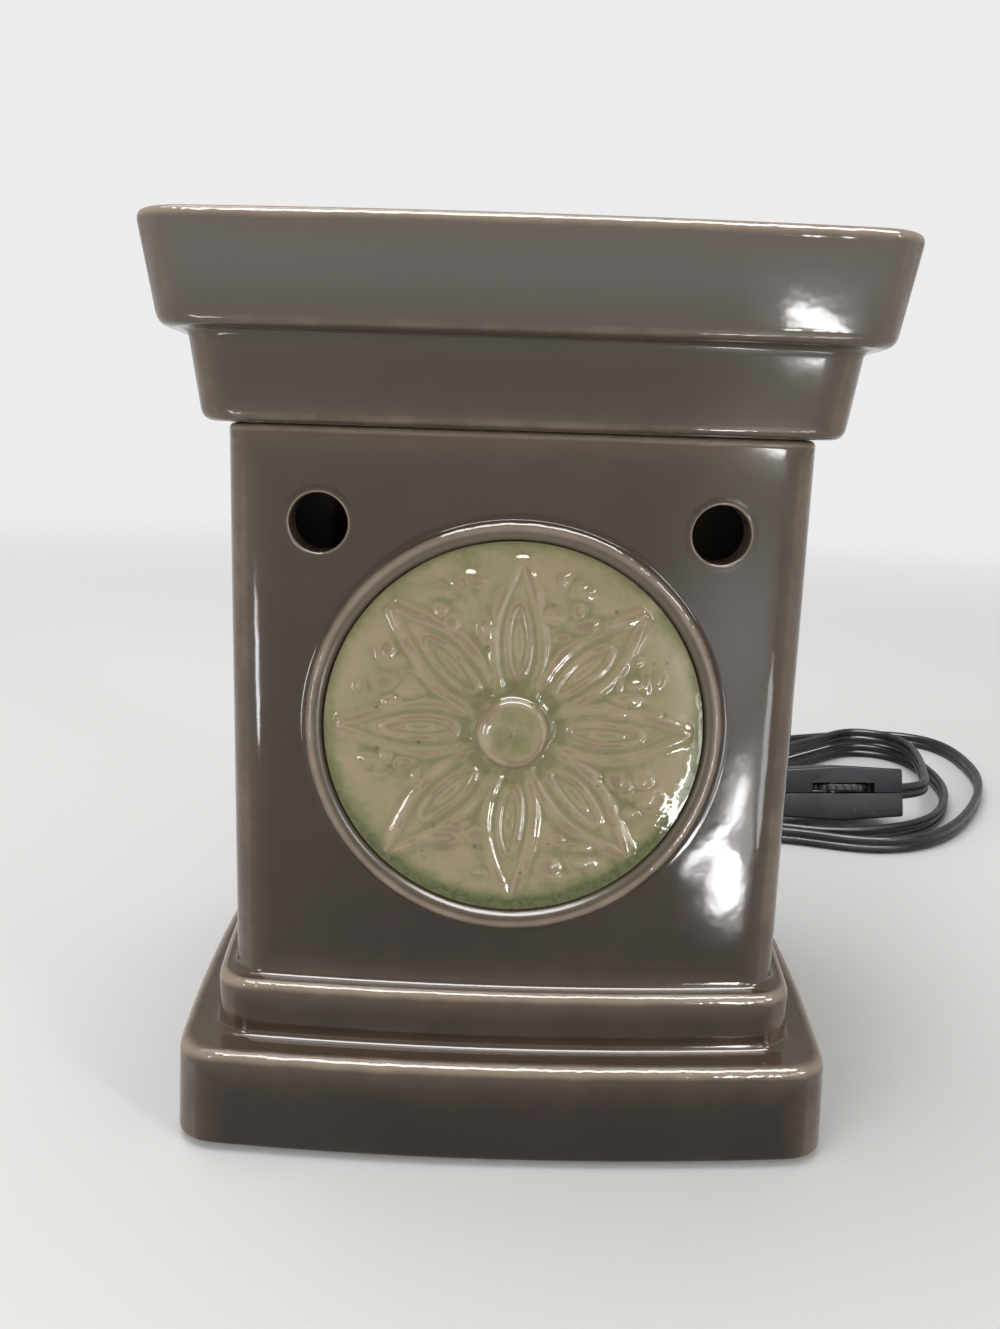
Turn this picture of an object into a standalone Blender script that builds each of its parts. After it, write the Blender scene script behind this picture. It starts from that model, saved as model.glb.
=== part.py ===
"""Square-column ceramic wax warmer, modelled as the pieces it comes apart into.

A glazed body with a bowed square plan carries an inset rosette medallion, a lift-off wax dish,
a small globe lamp in its socket, and a flat lead with an in-line thumb-wheel switch and a plug.
Metres, +Z up, front towards -Y, origin on the floor under the middle of the body.
"""

import math

import bmesh
import bpy
import numpy as np
from mathutils import Matrix, Vector

# Fits
TOUCH_GAP = 0.0003
RUNNING_GAP = 0.0005

# Plan outline shared by every ceramic tier
BOW_RATIO = 0.0555
SIDE_SEGMENTS = 6
CORNER_SEGMENTS = 3
FILLET_SEGMENTS = 2

# Body heights, from the floor up
FOOT_HEIGHT = 0.0012
PLINTH_HEIGHT = 0.0183
STEP_HEIGHT = 0.0109
COLUMN_HEIGHT = 0.1009

# Body half-widths at the corners
PLINTH_HALF_LOW = 0.0600
PLINTH_HALF_HIGH = 0.0595
STEP_HALF = 0.0534
COLUMN_HALF = 0.0505
PLINTH_CORNER = 0.0070
STEP_CORNER = 0.0060
COLUMN_CORNER = 0.0055
COLUMN_WALL = 0.0060
PLINTH_WALL = 0.0075
FLOOR_LEVEL = 0.0150
FLOOR_THICKNESS = 0.0065
EDGE_FILLET = 0.0020
ROOT_FILLET = 0.0014
FLOOR_FILLET = 0.0030

# Vents, front and back
VENT_RADIUS = 0.0050
VENT_SPACING = 0.0692
VENT_HEIGHT = 0.1149

# Wax dish
COLLAR_HEIGHT = 0.0146
COLLAR_HALF_LOW = 0.0542
COLLAR_HALF_HIGH = 0.0560
RIM_TIER_HEIGHT = 0.0178
RIM_HALF_LOW = 0.0598
RIM_HALF_HIGH = 0.0624
DISH_CORNER = 0.0075
DISH_WALL = 0.0052
DISH_FLOOR = 0.0050
DISH_FLOOR_LEVEL = 0.0125
BASIN_TAPER = 0.0060
BASIN_FILLET = 0.0050
LIP_DEPTH = 0.0040
LIP_WIDTH = 0.0032
LIP_CLEARANCE = 0.0008

# Rosette medallion and the bead round it
MEDALLION_HEIGHT = 0.0793
MEDALLION_RADIUS = 0.0335
MEDALLION_RIM = 0.0014
MEDALLION_PLATE = 0.0018
MEDALLION_STEPS = 48
SEAT_DEPTH = 0.0033
BEAD_RADIUS = 0.0019
BEAD_SIDES = 8
BEAD_STEPS = 64
BOSS_RADIUS = 0.0060
BOSS_HEIGHT = 0.0014
BOSS_DOT_RADIUS = 0.0008
BOSS_DOT_RISE = 0.0007
MOAT_DEPTH = 0.0004
PETAL_COUNT = 8
PETAL_START = 0.0066
PETAL_END = 0.0318
PETAL_HALF_WIDTH = 0.0043
PETAL_RIDGE = 0.0010
PETAL_BODY = 0.00025
PETAL_STATIONS = 11
BERRY_RADIUS = 0.0017
BERRY_RISE = 0.0008
BERRY_CIRCLE = 0.0262
BERRY_SPREAD = math.radians(7.5)
INNER_BERRY_CIRCLE = 0.0212

# Underside
COVER_THICKNESS = 0.0020
COVER_LEDGE = 0.0030
FOOT_RADIUS = 0.0050
FOOT_SPACING = 0.0900

# Lamp holder
NIPPLE_RADIUS = 0.0048
NIPPLE_BORE = 0.0033
NIPPLE_BELOW_FLOOR = 0.0055
WASHER_RADIUS = 0.0090
WASHER_THICKNESS = 0.0010
NUT_ACROSS_FLATS = 0.0140
NUT_THICKNESS = 0.0032
CUP_RADIUS = 0.0096
CUP_BORE = 0.0071
CUP_HEIGHT = 0.0290
CUP_BASE = 0.0062
SHELL_WALL = 0.0006
SHELL_HEIGHT = 0.0170
CONTACT_WIDTH = 0.0040
CONTACT_THICKNESS = 0.0006
CONTACT_RISE = 0.0042

# Globe lamp
CAP_RADIUS = 0.0058
CAP_HEIGHT = 0.0150
CAP_NOSE = 0.0030
TIP_RADIUS = 0.0022
TIP_HEIGHT = 0.0012
GLOBE_RADIUS = 0.0240
GLOBE_WALL = 0.0008
NECK_RADIUS = 0.0050
NECK_HEIGHT = 0.0120
NECK_SEATING = 0.0040
STEM_HEIGHT = 0.0240
STEM_RADIUS = 0.0026
FILAMENT_RADIUS = 0.0003
FILAMENT_SPAN = 0.0160
FILAMENT_RISE = 0.0110
FILAMENT_WAVE = 0.0015
FILAMENT_ARCH = 0.0020

# Lead
CORD_WIDTH = 0.0056
CORD_THICKNESS = 0.0028
CORD_EXIT_HEIGHT = 0.0085
RELIEF_LENGTH = 0.0200
RELIEF_ROOT = 0.0048
RELIEF_TIP = 0.0036
RELIEF_FLANGE = 0.0056
RELIEF_FLANGE_THICKNESS = 0.0014
RELIEF_NECK = 0.0035
WIRE_RADIUS = 0.0010
WIRE_SPACING = 0.0028
CORD_STEP = 0.0120
STUB = 0.0030
LYING_GAP = 0.0001

# In-line switch: it leans back on the lead, which lies under its front edge
SWITCH_CENTRE = Vector((0.1135, 0.1300, 0.0120))
SWITCH_LEAN = math.radians(-16)
SWITCH_TURN = math.radians(6)
SWITCH_LENGTH = 0.0420
SWITCH_DEPTH = 0.0210
SWITCH_THICKNESS = 0.0184
SWITCH_END_THICKNESS = 0.0160
SWITCH_EDGE = 0.0012
WHEEL_RADIUS = 0.0120
WHEEL_THICKNESS = 0.0023
SLOT_LENGTH = 0.0220
SLOT_SINK = 0.0025
WHEEL_NOTCHES = 24
WHEEL_NOTCH_DEPTH = 0.0004
AXLE_RADIUS = 0.0016
AXLE_LENGTH = 0.0110
SCREW_RADIUS = 0.0014
SCREW_HEAD_RADIUS = 0.0026
SCREW_HEAD_DEPTH = 0.0018
SCREW_REACH = 0.0060
SCREW_OFFSET = Vector((0.0160, 0.0045))

# Plug
PLUG_END = Vector((-0.0460, 0.1247, 0.0071))
PLUG_LENGTH = 0.0250
PLUG_WIDTH = 0.0230
PLUG_THICKNESS = 0.0140
PLUG_NECK_WIDTH = 0.0100
PLUG_NECK_THICKNESS = 0.0086
BLADE_LENGTH = 0.0160
BLADE_WIDTH = 0.0063
BLADE_THICKNESS = 0.0015
BLADE_SPACING = 0.0127
BLADE_SINK = 0.0040

# Levels worked out from the sizes above
BASE_BOTTOM = FOOT_HEIGHT
PLINTH_TOP = BASE_BOTTOM + PLINTH_HEIGHT
STEP_TOP = PLINTH_TOP + STEP_HEIGHT
COLUMN_TOP = STEP_TOP + COLUMN_HEIGHT
FLOOR_TOP = FLOOR_LEVEL + FLOOR_THICKNESS
COLUMN_INSIDE = COLUMN_HALF - COLUMN_WALL
CAVITY_HALF = PLINTH_HALF_HIGH - PLINTH_WALL
COVER_HALF = CAVITY_HALF + COVER_LEDGE
DISH_BOTTOM = COLUMN_TOP + TOUCH_GAP
COLLAR_TOP = DISH_BOTTOM + COLLAR_HEIGHT
RIM_TOP = COLLAR_TOP + RIM_TIER_HEIGHT
SEAT_RADIUS = MEDALLION_RADIUS + TOUCH_GAP
CUP_BOTTOM = FLOOR_TOP + TOUCH_GAP
CUP_INNER_FLOOR = CUP_BOTTOM + CUP_BASE
LAMP_TIP = CUP_INNER_FLOOR + CONTACT_RISE + TOUCH_GAP

# Route of the lead: free stretches and loops, each a list of points that it passes through
LEAD_ROUTE = [
    (0.000, 0.0890, CORD_EXIT_HEIGHT), (0.0040, 0.1000, 0.0078), (0.0150, 0.1082, 0.0058),
    (0.0320, 0.1112, 0.0038), (0.0520, 0.1118, 0.0029), (0.0730, 0.1120, 0.0029), (0.0925, 0.1108, 0.0029),
]
LOOP_ROUTE = [
    (0.0928, 0.1107), (0.106, 0.1070), (0.120, 0.1040), (0.136, 0.1075), (0.154, 0.1225),
    (0.1705, 0.147), (0.180, 0.166), (0.1865, 0.186), (0.189, 0.206), (0.188, 0.223),
    (0.182, 0.234), (0.171, 0.239), (0.155, 0.238), (0.130, 0.230), (0.100, 0.219),
    (0.060, 0.211), (0.025, 0.204), (-0.005, 0.190), (-0.022, 0.168), (-0.024, 0.146),
    (-0.010, 0.127), (0.015, 0.1185), (0.045, 0.1170), (0.075, 0.1168), (0.093, 0.1152),
    (0.106, 0.1124), (0.120, 0.1134), (0.133, 0.1178), (0.148, 0.1285), (0.160, 0.148),
    (0.1665, 0.168), (0.1682, 0.186), (0.1668, 0.203), (0.1600, 0.2150), (0.1480, 0.2180),
    (0.1345, 0.2100), (0.117, 0.1945), (0.097, 0.1790), (0.075, 0.1730), (0.053, 0.1680),
    (0.037, 0.1560), (0.036, 0.1400), (0.048, 0.1285),
]
SWITCH_RUN_RISE = [(0.066, 0.1240, 0.0062)]
TAIL_ROUTE = [
    (0.1493, 0.1420, 0.0109), (0.1549, 0.1555, 0.0102), (0.1598, 0.1725, 0.0096), (0.1635, 0.1900, 0.0093),
    (0.1638, 0.2045, 0.0092), (0.1575, 0.2155, 0.0092), (0.1465, 0.2180, 0.0092), (0.1345, 0.2100, 0.0092),
    (0.117, 0.1945, 0.0092), (0.097, 0.1795, 0.0092), (0.075, 0.1740, 0.0088), (0.050, 0.1765, 0.0058),
    (0.026, 0.1780, 0.0036), (0.006, 0.1765, 0.0048), (-0.010, 0.1715, 0.0082), (-0.024, 0.1620, 0.0093),
    (-0.037, 0.1480, 0.0080),
]


def clear_scene():
    """Remove whatever the file holds before the warmer is built."""
    for item in list(bpy.data.objects):
        bpy.data.objects.remove(item, do_unlink=True)


def new_collection(name):
    """Add a collection to the scene."""
    group = bpy.data.collections.new(name)
    bpy.context.scene.collection.children.link(group)
    return group


def new_material(name, colour, roughness, metallic=0.0, alpha=1.0):
    """A plain finish for one piece."""
    finish = bpy.data.materials.new(name)
    finish.use_nodes = True
    shader = finish.node_tree.nodes["Principled BSDF"]
    shader.inputs["Base Color"].default_value = (*colour, 1.0)
    shader.inputs["Roughness"].default_value = roughness
    shader.inputs["Metallic"].default_value = metallic
    shader.inputs["Alpha"].default_value = alpha
    return finish


BROWN_GLAZE = ((0.055, 0.043, 0.036), 0.18)
GREEN_GLAZE = ((0.235, 0.215, 0.115), 0.20)
BLACK_PLASTIC = ((0.020, 0.022, 0.025), 0.45)
RUBBER = ((0.030, 0.030, 0.030), 0.80)
BRASS = ((0.600, 0.430, 0.180), 0.30, 1.0)
STEEL = ((0.520, 0.520, 0.530), 0.32, 1.0)
PHENOLIC = ((0.050, 0.030, 0.020), 0.40)
GLASS = ((0.850, 0.880, 0.880), 0.05, 0.0, 0.25)


def place(name, data, finish, group, parent=None):
    """Make a named piece of the warmer from a mesh or a curve."""
    piece = bpy.data.objects.new(name, data)
    group.objects.link(piece)
    data.materials.append(new_material(name, *finish))
    piece.parent = parent
    return piece


def pose_empty(name, location, rotation, group):
    """An empty that holds the pieces which share one pose or one joint axis."""
    empty = bpy.data.objects.new(name, None)
    empty.location = location
    empty.rotation_euler = rotation
    empty.empty_display_size = 0.01
    group.objects.link(empty)
    return empty


def mesh_from(name, build):
    """Run a bmesh building function and keep its result as a mesh."""
    form = bmesh.new()
    build(form)
    mesh = bpy.data.meshes.new(name)
    form.to_mesh(mesh)
    form.free()
    return mesh


def hidden_cutter(name, mesh, group, matrix=None):
    """A body that only cuts or joins others."""
    cutter = bpy.data.objects.new(name, mesh)
    group.objects.link(cutter)
    cutter.hide_render = True
    cutter.display_type = "WIRE"
    if matrix is not None:
        cutter.matrix_world = matrix
    return cutter


def boolean(piece, operand, operation="DIFFERENCE"):
    """Cut a piece with another body, or join that body to it."""
    step = piece.modifiers.new(operand.name, "BOOLEAN")
    step.operation = operation
    step.object = operand
    step.solver = "EXACT"


def smooth(mesh, angle=math.radians(35)):
    """Shade rounded faces smooth and keep real edges sharp."""
    mesh.shade_smooth()
    mesh.set_sharp_from_angle(angle=angle)


def bowed_depth(half, x):
    """Distance of a bowed side from the axis, x along that side."""
    return half * (1.0 + BOW_RATIO * (1.0 - (x / half) ** 2))


def bowed_ring(half, corner, z):
    """A square outline with gently bowed sides and round corners."""
    reach = half - corner
    turn_radius = bowed_depth(half, reach) - reach
    quarter = [Vector((x, -bowed_depth(half, x), z)) for x in np.linspace(-reach, reach, SIDE_SEGMENTS + 1)]
    for angle in np.linspace(-math.pi / 2, 0, CORNER_SEGMENTS + 1)[1:-1]:
        x = reach + turn_radius * math.cos(angle)
        y = -reach + turn_radius * math.sin(angle)
        quarter.append(Vector((x, y, z)))
    ring = []
    for side in range(4):
        turn = Matrix.Rotation(side * math.pi / 2, 3, "Z")
        ring.extend(turn @ point for point in quarter)
    return ring


def filleted(profile):
    """Round the corners of a profile of (half, height, corner radius, fillet) steps."""
    steps = [Vector(step[:3]) for step in profile]
    rounded = [steps[0]]
    for before, here, after, step in zip(steps, steps[1:], steps[2:], profile[1:]):
        fillet = step[3]
        if fillet == 0:
            rounded.append(here)
            continue
        first = here + (before - here) * min(0.49, fillet / (before - here).length)
        last = here + (after - here) * min(0.49, fillet / (after - here).length)
        for t in np.linspace(0, 1, FILLET_SEGMENTS + 1):
            rounded.append(first * (1 - t) ** 2 + here * 2 * t * (1 - t) + last * t ** 2)
    rounded.append(steps[-1])
    return rounded


def lofted_mesh(name, profile):
    """A closed body lofted through bowed square rings and capped at both ends."""
    def build(form):
        rings = [[form.verts.new(p) for p in bowed_ring(s.x, s.z, s.y)] for s in filleted(profile)]
        for upper, lower in zip(rings, rings[1:]):
            for i in range(len(upper)):
                j = (i + 1) % len(upper)
                form.faces.new((upper[i], upper[j], lower[j], lower[i]))
        form.faces.new(reversed(rings[0]))
        form.faces.new(rings[-1])
        bmesh.ops.recalc_face_normals(form, faces=form.faces)
    mesh = mesh_from(name, build)
    smooth(mesh)
    return mesh


def turned(name, profile, steps, finish, group, parent=None, closed=False):
    """A piece turned about Z from a (radius, height) profile that runs down its outer side."""
    mesh = bpy.data.meshes.new(name)
    points = [(radius, 0.0, height) for radius, height in profile]
    edges = [(i, i + 1) for i in range(len(points) - 1)]
    if closed:
        edges.append((len(points) - 1, 0))
    mesh.from_pydata(points, edges, [])
    piece = place(name, mesh, finish, group, parent)
    screw = piece.modifiers.new("turn", "SCREW")
    screw.steps = steps
    screw.render_steps = steps
    screw.use_merge_vertices = True
    screw.merge_threshold = 0.00001
    screw.use_smooth_shade = True
    return piece


def tube_ring(inner, outer, low, high):
    """Profile of a plain ring."""
    return [(inner, high), (outer, high), (outer, low), (inner, low)]


def cylinder_mesh(name, radius, length, sides=32):
    """A capped cylinder about Z, centred on its origin."""
    def build(form):
        bmesh.ops.create_cone(form, cap_ends=True, segments=sides, radius1=radius, radius2=radius, depth=length)
    return mesh_from(name, build)


def block_mesh(name, size, edge=0.0):
    """A box centred on its origin, with rounded edges where an edge size is given."""
    def build(form):
        bmesh.ops.create_cube(form, size=1.0)
        bmesh.ops.scale(form, vec=size, verts=form.verts)
        if edge:
            bmesh.ops.bevel(form, geom=list(form.edges), offset=edge, segments=2, profile=0.5, affect="EDGES")
    return mesh_from(name, build)


def cubic_route(points, step):
    """Even points along a natural cubic curve through the given points."""
    nodes = np.array(points, dtype=float)
    spans = np.linalg.norm(np.diff(nodes, axis=0), axis=1)
    at = np.concatenate([[0.0], np.cumsum(spans)])
    count = len(nodes)
    system = np.eye(count)
    slopes = np.zeros_like(nodes)
    for i in range(1, count - 1):
        system[i, i - 1:i + 2] = (spans[i - 1], 2 * (spans[i - 1] + spans[i]), spans[i])
        slopes[i] = 6 * ((nodes[i + 1] - nodes[i]) / spans[i] - (nodes[i] - nodes[i - 1]) / spans[i - 1])
    bend = np.linalg.solve(system, slopes)
    fine = np.linspace(0.0, at[-1], 40 * count)
    cell = np.clip(np.searchsorted(at, fine) - 1, 0, count - 2)
    left = ((at[cell + 1] - fine) / spans[cell])[:, None]
    right = 1.0 - left
    square = (spans[cell] ** 2)[:, None] / 6
    curve = left * nodes[cell] + right * nodes[cell + 1]
    curve += square * ((left ** 3 - left) * bend[cell] + (right ** 3 - right) * bend[cell + 1])
    travel = np.concatenate([[0.0], np.cumsum(np.linalg.norm(np.diff(curve, axis=0), axis=1))])
    stations = np.linspace(0.0, travel[-1], max(2, round(travel[-1] / step)) + 1)
    return np.column_stack([np.interp(stations, travel, curve[:, axis]) for axis in range(3)])


def lead_route(points, step):
    """A stretch of lead through the given points, never lower than lead lying on the floor."""
    route = cubic_route(points, step)
    route[:, 2] = np.maximum(route[:, 2], CORD_WIDTH / 2 + LYING_GAP)
    return route


def flat_lead(name, points, finish, group, sides=1):
    """A stretch of flat lead standing on its edge along a row of points."""
    curve = bpy.data.curves.new(name, "CURVE")
    curve.dimensions = "3D"
    curve.twist_mode = "Z_UP"
    curve.fill_mode = "FULL"
    curve.extrude = (CORD_WIDTH - CORD_THICKNESS) / 2
    curve.bevel_depth = CORD_THICKNESS / 2
    curve.bevel_resolution = sides
    curve.use_fill_caps = True
    spline = curve.splines.new("POLY")
    spline.points.add(len(points) - 1)
    for knot, point in zip(spline.points, points):
        knot.co = (*point, 1.0)
    return place(name, curve, finish, group)


def round_wire(name, points, radius, finish, group, parent=None, sides=2):
    """A round wire along a row of points."""
    curve = bpy.data.curves.new(name, "CURVE")
    curve.dimensions = "3D"
    curve.bevel_depth = radius
    curve.bevel_resolution = sides
    curve.use_fill_caps = True
    spline = curve.splines.new("POLY")
    spline.points.add(len(points) - 1)
    for knot, point in zip(spline.points, points):
        knot.co = (*point, 1.0)
    return place(name, curve, finish, group, parent)


def lead_gap(points, step):
    """Least clear distance between two stretches of lead that lie past each other."""
    core = CORD_WIDTH - CORD_THICKNESS
    apart = max(1, round(4 * CORD_WIDTH / step))
    first, second = np.triu_indices(len(points), apart)
    offset = np.abs(points[first] - points[second])
    level = np.maximum(offset[:, 2] - core, 0.0)
    return np.sqrt(offset[:, 0] ** 2 + offset[:, 1] ** 2 + level ** 2).min() - CORD_THICKNESS


def build_body(parts, cutters):
    """Ceramic body: hollow column on a stepped plinth, with an inner floor for the lamp holder."""
    inner_corner = COLUMN_CORNER - COLUMN_WALL / 2
    cavity_corner = PLINTH_CORNER - COVER_LEDGE
    ledge = BASE_BOTTOM + COVER_THICKNESS + TOUCH_GAP
    rebate = COVER_HALF + TOUCH_GAP
    profile = [
        (COLUMN_INSIDE / 2, FLOOR_TOP, inner_corner, 0),
        (COLUMN_INSIDE, FLOOR_TOP, inner_corner, FLOOR_FILLET),
        (COLUMN_INSIDE, COLUMN_TOP, inner_corner, EDGE_FILLET / 2),
        (COLUMN_HALF, COLUMN_TOP, COLUMN_CORNER, EDGE_FILLET),
        (COLUMN_HALF, STEP_TOP, COLUMN_CORNER, ROOT_FILLET),
        (STEP_HALF, STEP_TOP, STEP_CORNER, EDGE_FILLET),
        (STEP_HALF, PLINTH_TOP, STEP_CORNER, ROOT_FILLET),
        (PLINTH_HALF_HIGH, PLINTH_TOP, PLINTH_CORNER, EDGE_FILLET),
        (PLINTH_HALF_LOW, BASE_BOTTOM, PLINTH_CORNER, EDGE_FILLET / 2),
        (rebate, BASE_BOTTOM, cavity_corner, 0),
        (rebate, ledge, cavity_corner, 0),
        (CAVITY_HALF, ledge, cavity_corner, 0),
        (CAVITY_HALF, FLOOR_LEVEL, cavity_corner, 0),
        (CAVITY_HALF / 2, FLOOR_LEVEL, cavity_corner, 0),
    ]
    body = place("warmer_body", lofted_mesh("warmer_body", profile), BROWN_GLAZE, parts)

    face = bowed_depth(COLUMN_HALF, 0.0)
    bead_circle = SEAT_RADIUS + BEAD_RADIUS

    def bead(form):
        loop = bmesh.ops.create_circle(form, segments=BEAD_SIDES, radius=BEAD_RADIUS)["verts"]
        bmesh.ops.rotate(form, verts=loop, cent=(0, 0, 0), matrix=Matrix.Rotation(math.pi / 2, 3, "X"))
        bmesh.ops.translate(form, verts=loop, vec=(bead_circle, 0, 0))
        bmesh.ops.spin(
            form, geom=list(form.edges), cent=(0, 0, 0), axis=(0, 0, 1), angle=2 * math.pi,
            steps=BEAD_STEPS, use_merge=True,
        )
        bmesh.ops.rotate(form, verts=form.verts, cent=(0, 0, 0), matrix=Matrix.Rotation(math.pi / 2, 3, "X"))
        for vert in form.verts:
            vert.co.y -= bowed_depth(COLUMN_HALF, vert.co.x) - BEAD_RADIUS / 2
            vert.co.z += MEDALLION_HEIGHT
        bmesh.ops.recalc_face_normals(form, faces=form.faces)
    boolean(body, hidden_cutter("bead", mesh_from("bead", bead), cutters), "UNION")

    facing = Matrix.Rotation(math.pi / 2, 4, "X")
    seat_reach = 2 * COLUMN_WALL
    seat_place = Matrix.Translation((0, SEAT_DEPTH - face - seat_reach / 2, MEDALLION_HEIGHT)) @ facing
    seat = cylinder_mesh("medallion_seat", SEAT_RADIUS, seat_reach, BEAD_STEPS)
    boolean(body, hidden_cutter("medallion_seat", seat, cutters, seat_place))

    vent = cylinder_mesh("vent", VENT_RADIUS, 4 * COLUMN_HALF)
    for name, x in (("left_vents", -VENT_SPACING / 2), ("right_vents", VENT_SPACING / 2)):
        spot = Matrix.Translation((x, 0, VENT_HEIGHT)) @ facing
        boolean(body, hidden_cutter(name, vent, cutters, spot))

    nipple_hole = cylinder_mesh("nipple_hole", NIPPLE_RADIUS + TOUCH_GAP, 4 * FLOOR_THICKNESS)
    spot = Matrix.Translation((0, 0, FLOOR_LEVEL + FLOOR_THICKNESS / 2))
    boolean(body, hidden_cutter("nipple_hole", nipple_hole, cutters, spot))

    exit_hole = cylinder_mesh("cord_exit", RELIEF_NECK + TOUCH_GAP, 4 * PLINTH_WALL)
    spot = Matrix.Translation((0, bowed_depth(PLINTH_HALF_HIGH, 0), CORD_EXIT_HEIGHT)) @ facing
    boolean(body, hidden_cutter("cord_exit", exit_hole, cutters, spot))
    return body


def petal_height(along, across):
    """Relief of one petal, along it from 0 to 1 and across it from -1 to 1."""
    swell = math.sin(math.pi * along ** 0.85)
    outline = math.exp(-((abs(across) - 0.80) / 0.20) ** 2)
    eye = math.exp(-((along - 0.42) / 0.30) ** 4)
    loop = eye * math.exp(-((abs(across) - 0.34) / 0.17) ** 2)
    return PETAL_RIDGE * min(1.0, 2.2 * swell) * max(outline, loop)


def build_medallion(parts, cutters):
    """Rosette medallion: a turned disc with a boss, eight veined petals and berries between them."""
    front = MEDALLION_RIM + MEDALLION_PLATE
    moat = BOSS_RADIUS * 1.14
    rim_start = MEDALLION_RADIUS * 0.955
    profile = [
        (0.0, front + BOSS_HEIGHT + BOSS_DOT_RISE), (BOSS_DOT_RADIUS, front + BOSS_HEIGHT * 0.80),
        (BOSS_RADIUS * 0.55, front + BOSS_HEIGHT * 0.72), (BOSS_RADIUS * 0.74, front + BOSS_HEIGHT * 0.52),
        (BOSS_RADIUS * 0.88, front + BOSS_HEIGHT), (BOSS_RADIUS, front + BOSS_HEIGHT * 0.62),
        (moat, front - MOAT_DEPTH), (moat * 1.4, front - MOAT_DEPTH * 0.75), (MEDALLION_RADIUS * 0.60, front),
        (rim_start, front - MOAT_DEPTH / 2), (MEDALLION_RADIUS, MEDALLION_RIM),
        (MEDALLION_RADIUS, 0.0), (0.0, 0.0),
    ]
    disc = turned("medallion", profile, MEDALLION_STEPS, GREEN_GLAZE, parts)
    back = SEAT_DEPTH - bowed_depth(COLUMN_HALF, 0.0) - TOUCH_GAP
    disc.matrix_world = Matrix.Translation((0, back, MEDALLION_HEIGHT)) @ Matrix.Rotation(math.pi / 2, 4, "X")

    sink = front - MEDALLION_PLATE / 2
    offsets = (-1.0, -0.80, -0.56, -0.34, 0.0, 0.34, 0.56, 0.80, 1.0)

    def relief(form):
        for petal in range(PETAL_COUNT):
            turn = Matrix.Rotation(2 * math.pi * petal / PETAL_COUNT, 3, "Z")
            sections = []
            for along in np.linspace(0.03, 0.97, PETAL_STATIONS):
                y = PETAL_START + (PETAL_END - PETAL_START) * along
                width = PETAL_HALF_WIDTH * math.sin(math.pi * along ** 0.85) ** 0.8
                section = [Vector((width, y, sink)), Vector((-width, y, sink))]
                for across in offsets:
                    height = front + PETAL_BODY + petal_height(along, across)
                    section.append(Vector((across * width, y, height)))
                sections.append([form.verts.new(turn @ point) for point in section])
            for near, far in zip(sections, sections[1:]):
                for i in range(len(near)):
                    j = (i + 1) % len(near)
                    form.faces.new((near[i], near[j], far[j], far[i]))
            form.faces.new(sections[0])
            form.faces.new(reversed(sections[-1]))
            between = 2 * math.pi * (petal + 0.5) / PETAL_COUNT
            berries = (
                (BERRY_CIRCLE, -BERRY_SPREAD, 1.0), (BERRY_CIRCLE, BERRY_SPREAD, 1.0),
                (INNER_BERRY_CIRCLE, 0.0, 1.25),
            )
            for circle, spread, scale in berries:
                angle = between + spread
                spot = Matrix.Translation((circle * math.cos(angle), circle * math.sin(angle), front))
                squash = Matrix.Diagonal((scale * BERRY_RADIUS, scale * BERRY_RADIUS, BERRY_RISE, 1.0))
                bmesh.ops.create_uvsphere(form, u_segments=8, v_segments=6, radius=1.0, matrix=spot @ squash)
        bmesh.ops.recalc_face_normals(form, faces=form.faces)
    carving = hidden_cutter("rosette_relief", mesh_from("rosette_relief", relief), cutters, disc.matrix_world)
    boolean(disc, carving, "UNION")
    return disc


def build_dish(parts):
    """Wax dish: flared basin, tapering collar and a lip that drops into the column's mouth."""
    floor = DISH_BOTTOM + DISH_FLOOR_LEVEL
    under = floor - DISH_FLOOR
    rim_inside = RIM_HALF_HIGH - DISH_WALL
    basin_half = rim_inside - BASIN_TAPER
    lip_outside = COLUMN_INSIDE - LIP_CLEARANCE
    lip_inside = lip_outside - LIP_WIDTH
    inner_corner = DISH_CORNER - DISH_WALL / 2
    lip_corner = COLUMN_CORNER - COLUMN_WALL / 2
    profile = [
        (basin_half / 2, floor, inner_corner, 0),
        (basin_half, floor, inner_corner, BASIN_FILLET),
        (rim_inside, RIM_TOP, inner_corner, EDGE_FILLET),
        (RIM_HALF_HIGH, RIM_TOP, DISH_CORNER, EDGE_FILLET),
        (RIM_HALF_LOW, COLLAR_TOP, DISH_CORNER, EDGE_FILLET),
        (COLLAR_HALF_HIGH, COLLAR_TOP, DISH_CORNER, ROOT_FILLET),
        (COLLAR_HALF_LOW, DISH_BOTTOM, DISH_CORNER, EDGE_FILLET),
        (lip_outside, DISH_BOTTOM, lip_corner, 0),
        (lip_outside, DISH_BOTTOM - LIP_DEPTH, lip_corner, 0),
        (lip_inside, DISH_BOTTOM - LIP_DEPTH, lip_corner, 0),
        (lip_inside, under, lip_corner, 0),
        (lip_inside / 2, under, lip_corner, 0),
    ]
    mesh = lofted_mesh("wax_dish", profile)
    mesh.transform(Matrix.Translation((0, 0, -DISH_BOTTOM)))
    dish = place("wax_dish", mesh, BROWN_GLAZE, parts)
    dish.location = (0, 0, DISH_BOTTOM)
    return dish


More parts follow.
